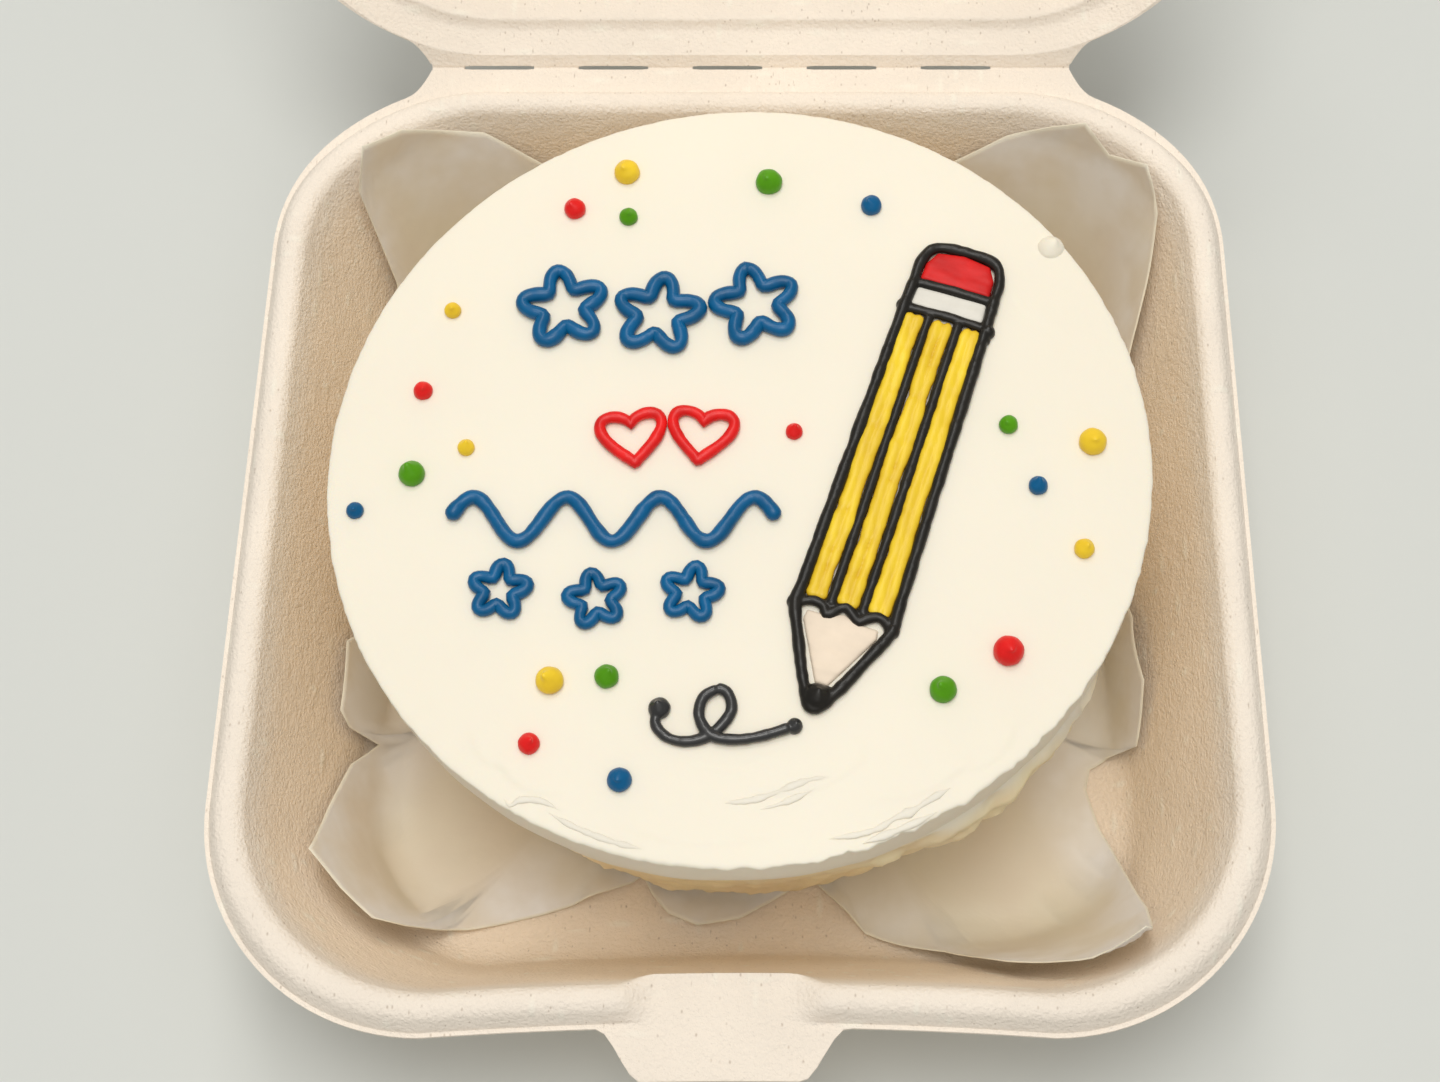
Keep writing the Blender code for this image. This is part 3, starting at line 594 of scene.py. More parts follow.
def plan_point(column, inset):
    """X and Y of a column on the outline drawn in by inset, before tab and strip."""
    side, spot = column
    radius = CORNER_RADIUS - CORNER_SHARPENING * max(inset, 0.0)
    flat_x = HALF_X - inset - radius
    flat_y = HALF_Y - inset - radius
    if side == "front":
        return spot * flat_x, -(HALF_Y - inset) + FRONT_BOW * (1 - spot * spot)
    if side == "back":
        return spot * flat_x, HALF_Y - inset
    if side == "right":
        return HALF_X - inset, spot * flat_y
    if side == "left":
        return -(HALF_X - inset), spot * flat_y
    x = side[0] * (flat_x + radius * math.cos(spot))
    return x, side[1] * (flat_y + radius * math.sin(spot))


def slot_spans():
    """Where the slots start and end along X."""
    half = SLOT_LENGTH / 2
    first = SLOT_MIDDLE - SLOT_PITCH * (SLOT_COUNT - 1) / 2
    middles = [first + SLOT_PITCH * index for index in range(SLOT_COUNT)]
    return [(middle - half, middle + half) for middle in middles]


def back_places():
    """X of the columns across the back, closer together at the slots and the necks."""
    places = []
    for start, end in slot_spans():
        for edge, into in ((start, 1), (end, -1)):
            places += [edge + into * step for step in (-0.0009, 0.0, 0.0005, 0.0011, 0.0019)]
        places += [start + (end - start) * share for share in (0.32, 0.5, 0.68)]
    for share in (-0.25, -0.08, 0.02, 0.10, 0.18, 0.28, 0.40, 0.55, 0.75, 1.0):
        places += [side * (NECK_HALF + NECK_FILLET * share) for side in (-1, 1)]
    places += [0.0055, -0.0135, 0.0245, -0.0325, 0.0435, 0.0465, 0.0495, -0.0500]
    return sorted(places)


def plan_columns():
    """Columns counterclockwise from the left end of the front side."""
    flat_x = HALF_X - CORNER_RADIUS
    neck_end = math.acos((NECK_HALF + NECK_FILLET - flat_x) / CORNER_RADIUS)
    quarter = [math.pi / 2 * step / 26 for step in range(1, 26)]
    to_neck = [neck_end * step / 16 for step in range(1, 16)]
    columns = [("front", -1 + step / 36) for step in range(73)]
    columns += [((1, -1), angle) for angle in reversed(quarter)]
    columns += [("right", -1 + step / 7) for step in range(15)]
    columns += [((1, 1), angle) for angle in to_neck]
    for x in reversed(back_places()):
        beyond = abs(x) - flat_x
        if beyond <= 0:
            columns.append(("back", x / flat_x))
        else:
            columns.append(((1 if x > 0 else -1, 1), math.acos(beyond / CORNER_RADIUS)))
    columns += [((-1, 1), angle) for angle in reversed(to_neck)]
    columns += [("left", 1 - step / 7) for step in range(15)]
    columns += [((-1, -1), angle) for angle in quarter]
    return columns


def gap_share(x):
    """1 where the bead gives way to the flat tab, 0 away from it."""
    return 1 - ease((abs(x - TAB_X) - BEAD_GAP_HALF) / BEAD_GAP_RAMP)


def back_share(y):
    """1 along the hinge, 0 away from it."""
    return ease((y - 0.050) / 0.025)


def set_in(y):
    """How far the bead lies further in than the outline, which it does at the back."""
    return BEAD_SET_IN * back_share(y)


def edge_point(column, inset):
    """A column on the outer edge of a rim, with the tab and the notched hinge strip."""
    x, y = plan_point(column, inset)
    if y < 0:
        across = (TAB_ROOT_HALF - abs(x - TAB_X)) / (TAB_ROOT_HALF - TAB_END_HALF)
        return x, y - TAB_REACH * ease(across)
    if column[0] in ("left", "right"):
        return x, y
    y -= EDGE_SET_IN * ease((y - 0.055) / 0.02)
    beyond = max(0.0, (abs(x) - NECK_HALF) / NECK_FILLET)
    strip_edge = HINGE.y - CLEARANCE / 2
    for start, end in slot_spans():
        strip_edge -= SLOT_NOTCH * ease(min(x - start, end - x) / 0.0011)
    return x, y + (strip_edge - y) * max(0.0, 1 - beyond) ** 2.5


def fillet_stations(inset, height, radius, taper, steps):
    """The turn from a wall that ends at inset and height into a flat panel."""
    lean = math.atan(taper)
    stations = []
    for step in range(1, steps + 1):
        angle = lean + (math.pi / 2 - lean) * step / steps
        over = radius * (math.cos(lean) - math.cos(angle))
        down = radius * (math.sin(angle) - math.sin(lean))
        stations.append((inset + over, height - down))
    return stations


def unevenness(point, amount):
    """A small offset that makes moulded fibre look hand-laid."""
    spot = Vector(point) * 45.0
    aparts = (0.0, 17.3, 41.9)
    shift = Vector([noise.noise(spot + Vector((0.0, 0.0, apart))) for apart in aparts])
    return Vector(point) + shift * amount


def lip_rings(columns, inner_inset, outer_inset, height, bead_share=1.0):
    """Flat rings from a rim's edge in to where its relief starts."""
    rings = []
    for share in (0.0, 0.06, 0.25, 0.5, 0.75, 0.92):
        ring = []
        for column in columns:
            outer = Vector(edge_point(column, outer_inset))
            x, y = plan_point(column, inner_inset)
            inner = Vector((x, y - set_in(y) * bead_share))
            ring.append((*outer.lerp(inner, share), height))
        rings.append(ring)
    return rings


def base_rings():
    """Rings of the base's upper surface, from the lip's edge in to the floor."""
    columns = plan_columns()
    rings = lip_rings(columns, LIP_WIDTH, 0.0, LIP_Z)
    for inset, rise in through(BEAD, 5):
        ring = []
        for column in columns:
            x, y = plan_point(column, inset)
            share = gap_share(x) if y < 0 else 0.0
            y += TAB_SET_IN * share * inset / WALL_INSET - set_in(y)
            point = (x, y, LIP_Z + BEAD_RISE * rise * (1 - share))
            ring.append(unevenness(point, RIM_UNEVENNESS * ease((inset - LIP_WIDTH) / 0.001)))
        rings.append(ring)
    floor_z = WALL
    wall_end = floor_z + FLOOR_FILLET * (1 - math.sin(math.atan(WALL_TAPER)))
    wall_foot = WALL_INSET + (LIP_Z - wall_end) * WALL_TAPER
    start = (WALL_INSET, LIP_Z + 0.2 * BEAD_RISE)
    stations = []
    for step in range(1, WALL_STEPS + 1):
        share = step / WALL_STEPS
        over = start[0] + (wall_foot - start[0]) * share
        stations.append((over, start[1] + (wall_end - start[1]) * share))
    stations += fillet_stations(wall_foot, wall_end, FLOOR_FILLET, WALL_TAPER, FILLET_STEPS)
    for inset, height in stations:
        depth = LIP_Z - height
        fade = 1 - ease(depth / TAB_SET_IN_DEPTH)
        level = ease((height - floor_z) / 0.004)
        ring = []
        for column in columns:
            x, y = plan_point(column, inset)
            share = gap_share(x) if y < 0 else 0.0
            y += TAB_SET_IN * share * fade - set_in(y) * max(0.0, 1 - depth / LIP_Z)
            height_here = height - 0.2 * BEAD_RISE * share * max(0.0, 1 + depth / (0.2 * BEAD_RISE))
            height_here = height_here if depth < 0 else height
            ring.append(unevenness((x, y, height_here), WALL_UNEVENNESS * level))
        rings.append(ring)
    return rings


def lid_rings():
    """Rings of the closed lid's inner surface, from its edge in to the top panel."""
    columns = plan_columns()
    seat = LIP_Z + CLEARANCE
    rings = lip_rings(columns, LID_CHANNEL[0][0], -LID_LIP, seat, 0.0)
    shares = [back_share(plan_point(column, 0.0)[1]) for column in columns]
    for side, back in zip(through(LID_CHANNEL, 6), through(LID_STEP, 6)):
        ring = []
        for column, share in zip(columns, shares):
            inset, rise = side.lerp(back, share)
            point = (*plan_point(column, inset), seat + rise)
            ring.append(unevenness(point, RIM_UNEVENNESS * ease(rise / 0.001)))
        rings.append(ring)
    lean = math.atan(LID_WALL_TAPER)
    wall_end = LID_DEPTH - LID_FILLET * (1 - math.sin(lean))
    wall_foot = LID_WALL_INSET + wall_end * LID_WALL_TAPER
    foot = Vector((wall_foot, wall_end))
    for step in range(1, WALL_STEPS + 1):
        down = step / WALL_STEPS
        ring = []
        for column, share in zip(columns, shares):
            start = Vector(LID_CHANNEL[-1]).lerp(Vector(LID_STEP[-1]), share)
            inset, rise = start.lerp(foot, down)
            point = (*plan_point(column, inset), seat + rise)
            ring.append(unevenness(point, WALL_UNEVENNESS * down))
        rings.append(ring)
    fillet = fillet_stations(wall_foot, 0.0, LID_FILLET, LID_WALL_TAPER, FILLET_STEPS)
    for inset, height in fillet:
        rise = wall_end - height
        level = ease((LID_DEPTH - rise) / 0.004)
        ring = []
        for column in columns:
            point = (*plan_point(column, inset), seat + rise)
            ring.append(unevenness(point, WALL_UNEVENNESS * level))
        rings.append(ring)
    return rings


def drawn_out(rings):
    """A surface drawn out ring by ring from one outline and closed by a panel."""
    bm = bmesh.new()
    column = bm.verts.layers.int.new("column")
    made = bmesh.ops.create_circle(bm, segments=len(rings[0]), radius=1.0)["verts"]
    for index, vert in enumerate(made):
        vert[column] = index
        vert.co = rings[0][index]
    edges = bm.edges[:]
    for ring in rings[1:]:
        drawn = bmesh.ops.extrude_edge_only(bm, edges=edges)["geom"]
        for vert in (item for item in drawn if isinstance(item, bmesh.types.BMVert)):
            vert.co = ring[vert[column]]
        edges = [item for item in drawn if isinstance(item, bmesh.types.BMEdge)]
        edges = [edge for edge in edges if edge.is_boundary]
    return bm, edges


def pulp_shell(name, rings, panel_up, wall, turn=None):
    """A shell of even wall behind the surface through rings."""
    bm, edges = drawn_out(rings)
    panel = bmesh.ops.contextual_create(bm, geom=edges)["faces"][0]
    bmesh.ops.recalc_face_normals(bm, faces=bm.faces[:])
    if (panel.normal.z > 0) != panel_up:
        bmesh.ops.reverse_faces(bm, faces=bm.faces[:])
    if turn:
        bmesh.ops.transform(bm, matrix=turn, verts=bm.verts[:])
    shell = from_bmesh(name, bm, pulp_material())
    solidify = shell.modifiers.new("Wall", "SOLIDIFY")
    solidify.thickness = wall
    solidify.offset = -1.0
    solidify.use_even_offset = True
    bevel = shell.modifiers.new("Edge", "BEVEL")
    bevel.width = 0.0002
    bevel.segments = 2
    bevel.limit_method = "ANGLE"
    bevel.angle_limit = math.radians(55)
    return shell


def turned_open():
    """From the shut lid's place to the open one's."""
    turn = Matrix.Rotation(-LID_OPENING, 4, "X")
    return Matrix.Translation(HINGE) @ turn @ Matrix.Translation(-HINGE)


class BENTO_OT_box_base(bpy.types.Operator):
    """Make the pulp tray with its bead, tab and hinge strip."""

    bl_idname = "bento.box_base"
    bl_label = "Pulp base"

    def execute(self, context):
        shell = pulp_shell("pulp_base", base_rings(), True, context.scene.bento_box.wall)
        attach(shell, "base")
        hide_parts("box_base")
        return {"FINISHED"}


class BENTO_OT_box_lid(bpy.types.Operator):
    """Make the pulp lid, standing open on its hinge."""

    bl_idname = "bento.box_lid"
    bl_label = "Pulp lid"

    def execute(self, context):
        wall = context.scene.bento_box.wall
        shell = pulp_shell("pulp_lid", lid_rings(), False, wall, turned_open())
        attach(shell, "lid")
        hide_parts("box_lid")
        return {"FINISHED"}


class BENTO_OT_hinge_webs(bpy.types.Operator):
    """Make the folds of pulp between the slots, which join the two hinge strips."""

    bl_idname = "bento.hinge_webs"
    bl_label = "Hinge webs"

    def execute(self, context):
        spans = slot_spans()
        edges = [-NECK_HALF] + [edge for span in spans for edge in span] + [NECK_HALF]
        near, far = CLEARANCE / 2 + 0.00004, CLEARANCE / 2 + WALL - 0.00004
        first = -math.pi / 2
        last = math.pi / 2 - LID_OPENING
        tail = 0.0012
        arc = [first + (last - first) * step / 10 for step in range(11)]
        section = []
        for radius, order in ((far, arc), (near, arc[::-1])):
            points = [radius * Vector((math.cos(angle), math.sin(angle))) for angle in order]
            base_tail = Vector((-tail, -radius))
            lid_way = Vector((math.cos(last + math.pi / 2), math.sin(last + math.pi / 2)))
            lid_tail = lid_way * tail + radius * Vector((math.cos(last), math.sin(last)))
            ends = (base_tail, lid_tail) if order is arc else (lid_tail, base_tail)
            section += [ends[0]] + points + [ends[1]]
        bm = bmesh.new()
        for start, end in zip(edges[::2], edges[1::2]):
            corners = [bm.verts.new((start, HINGE.y + y, HINGE.z + z)) for y, z in section]
            face = bm.faces.new(corners)
            drawn = bmesh.ops.extrude_face_region(bm, geom=[face])["geom"]
            moved = [item for item in drawn if isinstance(item, bmesh.types.BMVert)]
            bmesh.ops.translate(bm, vec=(end - start, 0.0, 0.0), verts=moved)
        bmesh.ops.recalc_face_normals(bm, faces=bm.faces[:])
        webs = from_bmesh("hinge_webs", bm, pulp_material())
        middle = (near + far) / 2
        start = HINGE + Vector((0.0, middle * math.cos(first), middle * math.sin(first)))
        end = HINGE + Vector((0.0, middle * math.cos(last), middle * math.sin(last)))
        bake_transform(webs)
        return {"FINISHED"}


# Paper sheet


def wall_distance(angle, height, standoff):
    """How far the base's inner wall is from the middle, at a height, less standoff."""
    below = max(0.0, LIP_Z - height)
    inset = WALL_INSET + below * WALL_TAPER + standoff
    radius = CORNER_RADIUS - CORNER_SHARPENING * inset
    core_x = HALF_X - inset - radius
    core_y = HALF_Y - inset - radius - (FRONT_BOW if angle < 0 else 0.0)
    near, far = 0.0, 0.12
    for _ in range(24):
        middle = (near + far) / 2
        over_x = max(0.0, abs(middle * math.cos(angle)) - core_x)
        over_y = max(0.0, abs(middle * math.sin(angle)) - core_y)
        if math.hypot(over_x, over_y) < radius:
            near = middle
        else:
            far = middle
    return near


# Angle in degrees and reach in millimetres of the corners of the sheet's edge
PAPER_OUTLINE = [
    (-176, 60), (-166.5, 75), (-157.3, 77.6), (-155.6, 75), (-154.4, 66.5), (-151.5, 75),
    (-141.3, 97.5), (-136.5, 96), (-132.2, 93.4), (-130.4, 86), (-128.3, 73.4), (-124.3, 67.9),
    (-120, 63), (-115.8, 58.5), (-110, 53), (-108.6, 51), (-106, 53.5), (-102.5, 56), (-97.5, 57.2),
    (-91, 55.5), (-85.2, 52.4), (-79.5, 50), (-77.5, 51), (-75, 55), (-72.3, 60.3), (-68.9, 64.0),
    (-63.8, 70.7), (-62, 78.4), (-59.8, 88.4), (-55, 102), (-52.5, 107.5), (-49.3, 113.5),
    (-45, 97), (-41.3, 82.4),
    (-36.5, 69.1), (-32.7, 64), (-29.8, 62.9), (-27.4, 64.5), (-26.3, 72.8), (-18.9, 75.4),
    (-9.4, 71.4), (2, 62), (16, 68), (31, 88.5), (38.5, 105), (42.2, 113), (46.8, 109.5),
    (50.1, 115),
    (53.5, 110), (58, 102.5), (63, 93.5), (76, 70), (92, 62), (108, 75), (117.7, 93), (122.7, 103),
    (131.2, 114.5), (136, 117), (138.3, 107), (140.3, 87.4), (148, 68), (164, 60),
]


def paper_reach(angle):
    """Length of the sheet from the middle to its edge, which is straight between corners."""
    turn = math.degrees(angle)
    first, last = PAPER_OUTLINE[0], PAPER_OUTLINE[-1]
    spots = [(last[0] - 360, last[1])] + PAPER_OUTLINE + [(first[0] + 360, first[1])]
    for (start, near), (end, far) in zip(spots, spots[1:]):
        if start <= turn <= end:
            gone, left = math.radians(turn - start), math.radians(end - turn)
            chord = near * math.sin(gone) + far * math.sin(left)
            return near * far * math.sin(gone + left) / chord / 1000
    return first[1] / 1000


def paper_point(angle, reach, share):
    """A point of the sheet at a share of its reach, up the wall past the floor."""
    run = reach * share
    floor_end = wall_distance(angle, WALL, PAPER_FLAT_END)
    crease = math.sin(9 * angle + 0.6) + 0.5 * math.sin(17 * angle + 2.0)
    crease += 0.9 * noise.noise(Vector((3.2 * math.cos(angle), 3.2 * math.sin(angle), 40 * run)))
    wave = PAPER_CREASE * crease
    climb = max(0.0, run - floor_end)
    lean = math.atan(WALL_TAPER)
    arc = PAPER_BEND * (math.pi / 2 - lean)
    turn = min(climb, arc) / PAPER_BEND
    rise = PAPER_BEND * (1 - math.cos(turn)) + max(0.0, climb - arc) * math.cos(lean)
    out = min(run, floor_end) + PAPER_BEND * math.sin(turn) + max(0.0, climb - arc) * math.sin(lean)
    standoff = PAPER_STANDOFF - 0.0012 * hump(math.degrees(angle), -60, 16)
    limit = wall_distance(angle, PAPER_Z + rise, standoff)
    limit -= 1.1 * set_in(limit * math.sin(angle)) * min(1.0, rise / LIP_Z)
    pull = ease(climb / 0.012)
    out = min(out, limit) * (1 - pull) + limit * pull + min(wave, 0.0008) * pull
    curl = ease((0.060 - reach) / 0.003) * max(0.0, run - 0.052)
    rise += 0.5 * curl
    flat = Vector((out * math.cos(angle), out * math.sin(angle), 0.0))
    ripple = PAPER_RIPPLE * noise.noise(flat * 160)
    rise += max(0.0, ripple) * ease((run - 0.056) / 0.004)
    return out * math.cos(angle), out * math.sin(angle), PAPER_Z + rise


class BENTO_OT_paper(bpy.types.Operator):
    """Make the greaseproof sheet under the cake, turned up in the box's corners."""

    bl_idname = "bento.paper"
    bl_label = "Paper"

    def execute(self, context):
        corners = {angle for angle, _ in PAPER_OUTLINE}
        turns = [
            turn for turn in range(-180, 180)
            if min(abs(turn - corner) for corner in corners) > 0.6
        ]
        angles = [math.radians(turn) for turn in sorted(corners.union(turns))]
        reaches = [paper_reach(angle) for angle in angles]
        shares = [0.10, 0.30, 0.45] + [0.45 + 0.55 * step / 44 for step in range(1, 45)]
        rings = []
        for share in shares:
            ring = [paper_point(angle, reach, share) for angle, reach in zip(angles, reaches)]
            rings.append(ring)
        bm, edges = drawn_out(rings)
        first = [edge for edge in bm.edges if edge.is_boundary and edge not in set(edges)]
        bmesh.ops.contextual_create(bm, geom=first)
        bmesh.ops.recalc_face_normals(bm, faces=bm.faces[:])
        outer = bm.verts.layers.float.new("outer")
        for index, vert in enumerate(bm.verts):
            vert[outer] = ease((shares[index // len(angles)] - 0.66) / 0.34)
        rim = bm.verts.layers.float.new("edge")
        for edge in edges:
            for vert in edge.verts:
                vert[rim] = 1.0
        sheet = from_bmesh("paper_sheet", bm, paper_material(), sharp=180.0)
        solidify = sheet.modifiers.new("Sheet", "SOLIDIFY")
        solidify.thickness = context.scene.bento_paper.thickness
        solidify.offset = 0.0
        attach(sheet, "base")
        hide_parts("paper_liner")
        return {"FINISHED"}


# Cake


def cake_scale(angle):
    return 1 + CAKE_OVAL * math.cos(2 * (angle - CAKE_OVAL_ANGLE))


def cake_profile():
    """Radius and height from the foot, up the side and in over the top."""
    ledge = CAKE_TOP - FROSTING_BAND
    knots = [(radius, CAKE_FOOT) for radius in (0.0, 0.030, 0.0500)]
    knots.append((0.0518, CAKE_FOOT + 0.0008))
    side = []
    for step in range(1, 60):
        share = step / 59
        height = CAKE_FOOT + 0.001 + (ledge - CAKE_FOOT - 0.001) * share
        side.append((0.0525 + 0.0055 * share, height))
    band = [(CAKE_RADIUS - 0.0005, ledge + 0.0005), (CAKE_RADIUS - 0.0002, ledge + 0.0014)]
    band += [(CAKE_RADIUS - 0.0001, CAKE_TOP - 0.0045), (CAKE_RADIUS - 0.0001, CAKE_TOP - 0.0012)]
    band += [(CAKE_RADIUS, CAKE_TOP - 0.0004), (CAKE_RADIUS - 0.0004, CAKE_TOP - 0.00005)]
    band += [(CAKE_RADIUS - 0.0020, CAKE_TOP)]
    profile = knots + side + [tuple(point) for point in through(band, 5)]
    radius = CAKE_RADIUS - 0.0026
    while radius > 0.030:
        profile.append((radius, CAKE_TOP))
        radius -= 0.00045
    for share in (1.0, 0.86, 0.72, 0.58, 0.44, 0.3, 0.16, 0.0):
        profile.append((0.0295 * share, CAKE_TOP))
    return profile


# Spatula marks on the top: where each starts and ends, in millimetres, and how high it stands
SPATULA_MARKS = [
    (-6, -45.5, 6, -44.0, 0.22), (2, -49.5, 16, -46.0, 0.30), (14, -45.8, 17, -42.5, 0.18),
    (-32, -45.5, -23, -49.5, 0.30), (-36, -41.5, -30, -46.0, 0.22), (18, -50.5, 31, -45.5, 0.26),
    (30, -46.5, 38, -40.5, 0.24), (-14, -54.5, 4, -55.5, 0.20), (40, 30, 46, 22, 0.14),
    (-50, 20, -46, 28, 0.12), (-20, 14, -8, 17, 0.06), (20, -38, 30, -40, 0.08),
]


def spatula_relief(x, y):
    """Height of the faint ridges that the spatula left on the top."""
    rise = 0.0
    for x0, y0, x1, y1, high in SPATULA_MARKS:
        start, end = Vector((x0, y0)), Vector((x1, y1))
        way = end - start
        here = Vector((x * 1000, y * 1000)) - start
        share = min(1.2, max(-0.2, here.dot(way) / way.length_squared))
        bow = 1.6 * math.sin(math.pi * share)
        gap = way.normalized().cross(here) + bow
        fade = ease((share + 0.2) / 0.35) * ease((1.2 - share) / 0.35)
        step = 0.5 + 0.5 * math.tanh(gap / 0.25)
        rise += 0.7 * high * fade * (hump(gap, 0.0, 0.45) * 0.4 + 0.6 * step * hump(gap, 0.0, 3.0))
    return rise / 1000


def cake_relief(x, y, z):
    """Where a point of the plain turned cake lies once it has been frosted by hand."""
    angle = math.atan2(y, x)
    radius = math.hypot(x, y) * cake_scale(angle)
    ledge = CAKE_TOP - FROSTING_BAND
    side = ease((radius - 0.0505) / 0.0015) * (1 - ease((z - ledge + 0.0004) / 0.0012))
    drag = noise.noise(Vector((30 * math.cos(angle), 30 * math.sin(angle), z * 420)))
    crumb = noise.noise(Vector((x, y, z * 1.6)) * 330)
    streak = noise.noise(Vector((11 * math.cos(angle), 11 * math.sin(angle), z * 620)))
    radius += side * (SIDE_DRAG * drag + SIDE_CRUMB * crumb + SIDE_STREAK * streak)
    swell = hump(math.degrees(angle), -52, 22) * hump(z, ledge - 0.004, 0.011)
    radius += side * SIDE_SWELL * swell * (1 + 0.3 * streak)
    band = ease((z - ledge) / 0.001) * (1 - ease((z - CAKE_TOP + 0.0012) / 0.001))
    smear = noise.noise(Vector((9 * math.cos(angle), 9 * math.sin(angle), z * 160)))
    radius += band * BAND_SMEAR * smear
    brim = hump(z, CAKE_TOP - 0.0005, 0.0011) * ease((radius - 0.055) / 0.003)
    ragged = noise.noise(Vector((26 * math.cos(angle), 26 * math.sin(angle), 3.0)))
    ragged += 0.6 * noise.noise(Vector((70 * math.cos(angle), 70 * math.sin(angle), 7.0)))
    front_right = hump(math.degrees(angle), -62, 30)
    radius += brim * ragged * (0.00018 + 0.00045 * front_right)
    point = Vector((radius * math.cos(angle), radius * math.sin(angle), z))
    top = ease((z - CAKE_TOP + 0.0002) / 0.0002)
    point.z += top * TOP_WAVE * noise.noise(Vector((point.x, point.y, 0.0)) * 38)
    point.z += top * spatula_relief(point.x, point.y) * (1 - ease((radius - 0.0580) / 0.0016))
    point.z -= brim * 0.00015 * max(0.0, ragged)
    return point + Vector((CAKE_X, CAKE_Y, 0.0))


# Thin ridges that the spatula dragged up, as X and Y in millimetres
SPATULA_RIDGES = [
    [(-1.5, -49.7), (2.1, -49.3), (5.2, -48.3), (9.8, -46.5), (12.5, -46.1)],
    [(3.2, -50.6), (6.0, -49.8), (8.6, -48.7), (10.6, -47.7)],
    [
        (12.5, -54.6), (16.5, -54.0), (19.3, -53.1), (21.3, -51.8), (23.7, -50.8), (25.8, -49.4),
        (28.9, -47.6),
    ],
    [(17.0, -55.2), (21.0, -53.7), (24.5, -52.2), (27.0, -50.9)],
    [(-31.2, -49.2), (-30.4, -50.1), (-29.1, -49.3), (-26.3, -49.4), (-23.4, -50.9)],
    [(-25.2, -51.0), (-23.0, -52.3), (-20.5, -53.5), (-16.5, -55.0), (-12.5, -56.0)],
]


class BENTO_OT_cake(bpy.types.Operator):
    """Make the frosted cake: smooth on top, dragged and buttery down the side."""

    bl_idname = "bento.cake"
    bl_label = "Cake"

    def execute(self, context):
        bm = bmesh.new()
        chain = [bm.verts.new((radius, 0.0, height)) for radius, height in cake_profile()]
        edges = [bm.edges.new(pair) for pair in zip(chain, chain[1:])]
        bmesh.ops.spin(
            bm, geom=chain + edges, cent=(0, 0, 0), axis=(0, 0, 1), angle=2 * math.pi,
            steps=440, use_merge=True,
        )
        bmesh.ops.remove_doubles(bm, verts=bm.verts[:], dist=0.000002)
        bmesh.ops.recalc_face_normals(bm, faces=bm.faces[:])
        for vert in bm.verts:
            vert.co = cake_relief(*vert.co)
        for index, knots in enumerate(SPATULA_RIDGES):
            path = through([(x / 1000, y / 1000) for x, y in knots], 8)
            path = spaced(path, ROPE_STEP)
            ridge = rope_mesh("ridge", path, 0.0010, lumps=0.6, seed=61.0 + index, fade=0.006)
            add_mesh(bm, ridge, 0.40, CAKE_TOP + 0.00002)
        cake = from_bmesh("cake_frosting", bm, frosting_material(), sharp=75.0)
        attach(cake, "base")
        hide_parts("cake")
        return {"FINISHED"}


# Piped icing


def icing_drop(bm, x, y, width, peak, lean, sunk=0.35):
    """A drop of icing with a soft little peak, its underside sunk in the frosting."""
    made = bmesh.ops.create_uvsphere(bm, u_segments=28, v_segments=18, radius=1.0)["verts"]
    radius = width / 2
    tip = Vector((math.cos(lean), math.sin(lean), 0.0)) * radius * 0.35
    for vert in made:
        away = math.hypot(vert.co.x, vert.co.y)
        high = max(0.0, vert.co.z)
        lump = 1 + 0.05 * noise.noise(vert.co * 1.7 + Vector((x, y, 0.0)) * 900)
        vert.co = vert.co * lump
        vert.co.x *= radius
        vert.co.y *= radius
        vert.co.z *= radius * 0.92
        share = high * math.exp(-((away / 0.34) ** 2))
        vert.co += tip * share + Vector((0.0, 0.0, peak * radius * share))
        vert.co += Vector((x, y, CAKE_TOP + radius * 0.92 * (1 - 2 * sunk)))


def rope_mesh(name, points, width, closed=False, lumps=0.05, ends=(1.0, 1.0), seed=0.0, fade=0.0):
    """A rope of icing of a width along points, lumpy, with round ends or ends that fade out."""
    curve = bpy.data.curves.new(name, "CURVE")
    curve.dimensions = "3D"
    curve.twist_mode = "Z_UP"
    curve.bevel_depth = 1.0
    curve.bevel_resolution = 5
    curve.use_fill_caps = not closed
    spline = curve.splines.new("POLY")
    spline.points.add(len(points) - 1)
    runs = [0.0]
    for before, after in zip(points, points[1:]):
        runs.append(runs[-1] + (Vector(after) - Vector(before)).length)
    for point, spot, run in zip(spline.points, points, runs):
        lump = 1 + lumps * noise.noise(Vector((run * 420, seed, 0.5)))
        lump += lumps * 0.6 * noise.noise(Vector((run * 1100, seed, 4.5)))
        if not closed:
            for away, end in ((run, ends[0]), (runs[-1] - run, ends[1])):
                soft = ease(away / fade) if fade else min(1.0, away / (width * 0.5))
                swell = 1 + (end - 1) * hump(away, width * 0.6, width * 0.7)
                lump *= swell * max(0.12, math.sqrt(1 - (1 - soft) ** 2))
        point.co = (spot[0], spot[1], 0.0, 1.0)
        point.radius = width / 2 * lump
    spline.use_cyclic_u = closed
    path = bpy.data.objects.new(name, curve)
    bpy.context.scene.collection.objects.link(path)
    mesh = evaluated_mesh(path)
    bpy.data.curves.remove(curve)
    return mesh


def spaced(points, step, closed=False):
    """Points about step apart along the same way."""
    ring = [Vector((point[0], point[1])) for point in points]
    if closed:
        ring.append(ring[0])
    made, left = [ring[0]], step
    for start, end in zip(ring, ring[1:]):
        span = (end - start).length
        done = 0.0
        while span - done > left:
            done += left
            made.append(start.lerp(end, done / span))
            left = step
        left -= span - done
    if closed:
        if (made[-1] - ring[0]).length < step / 2:
            made.pop()
    else:
        made.append(ring[-1])
    return made


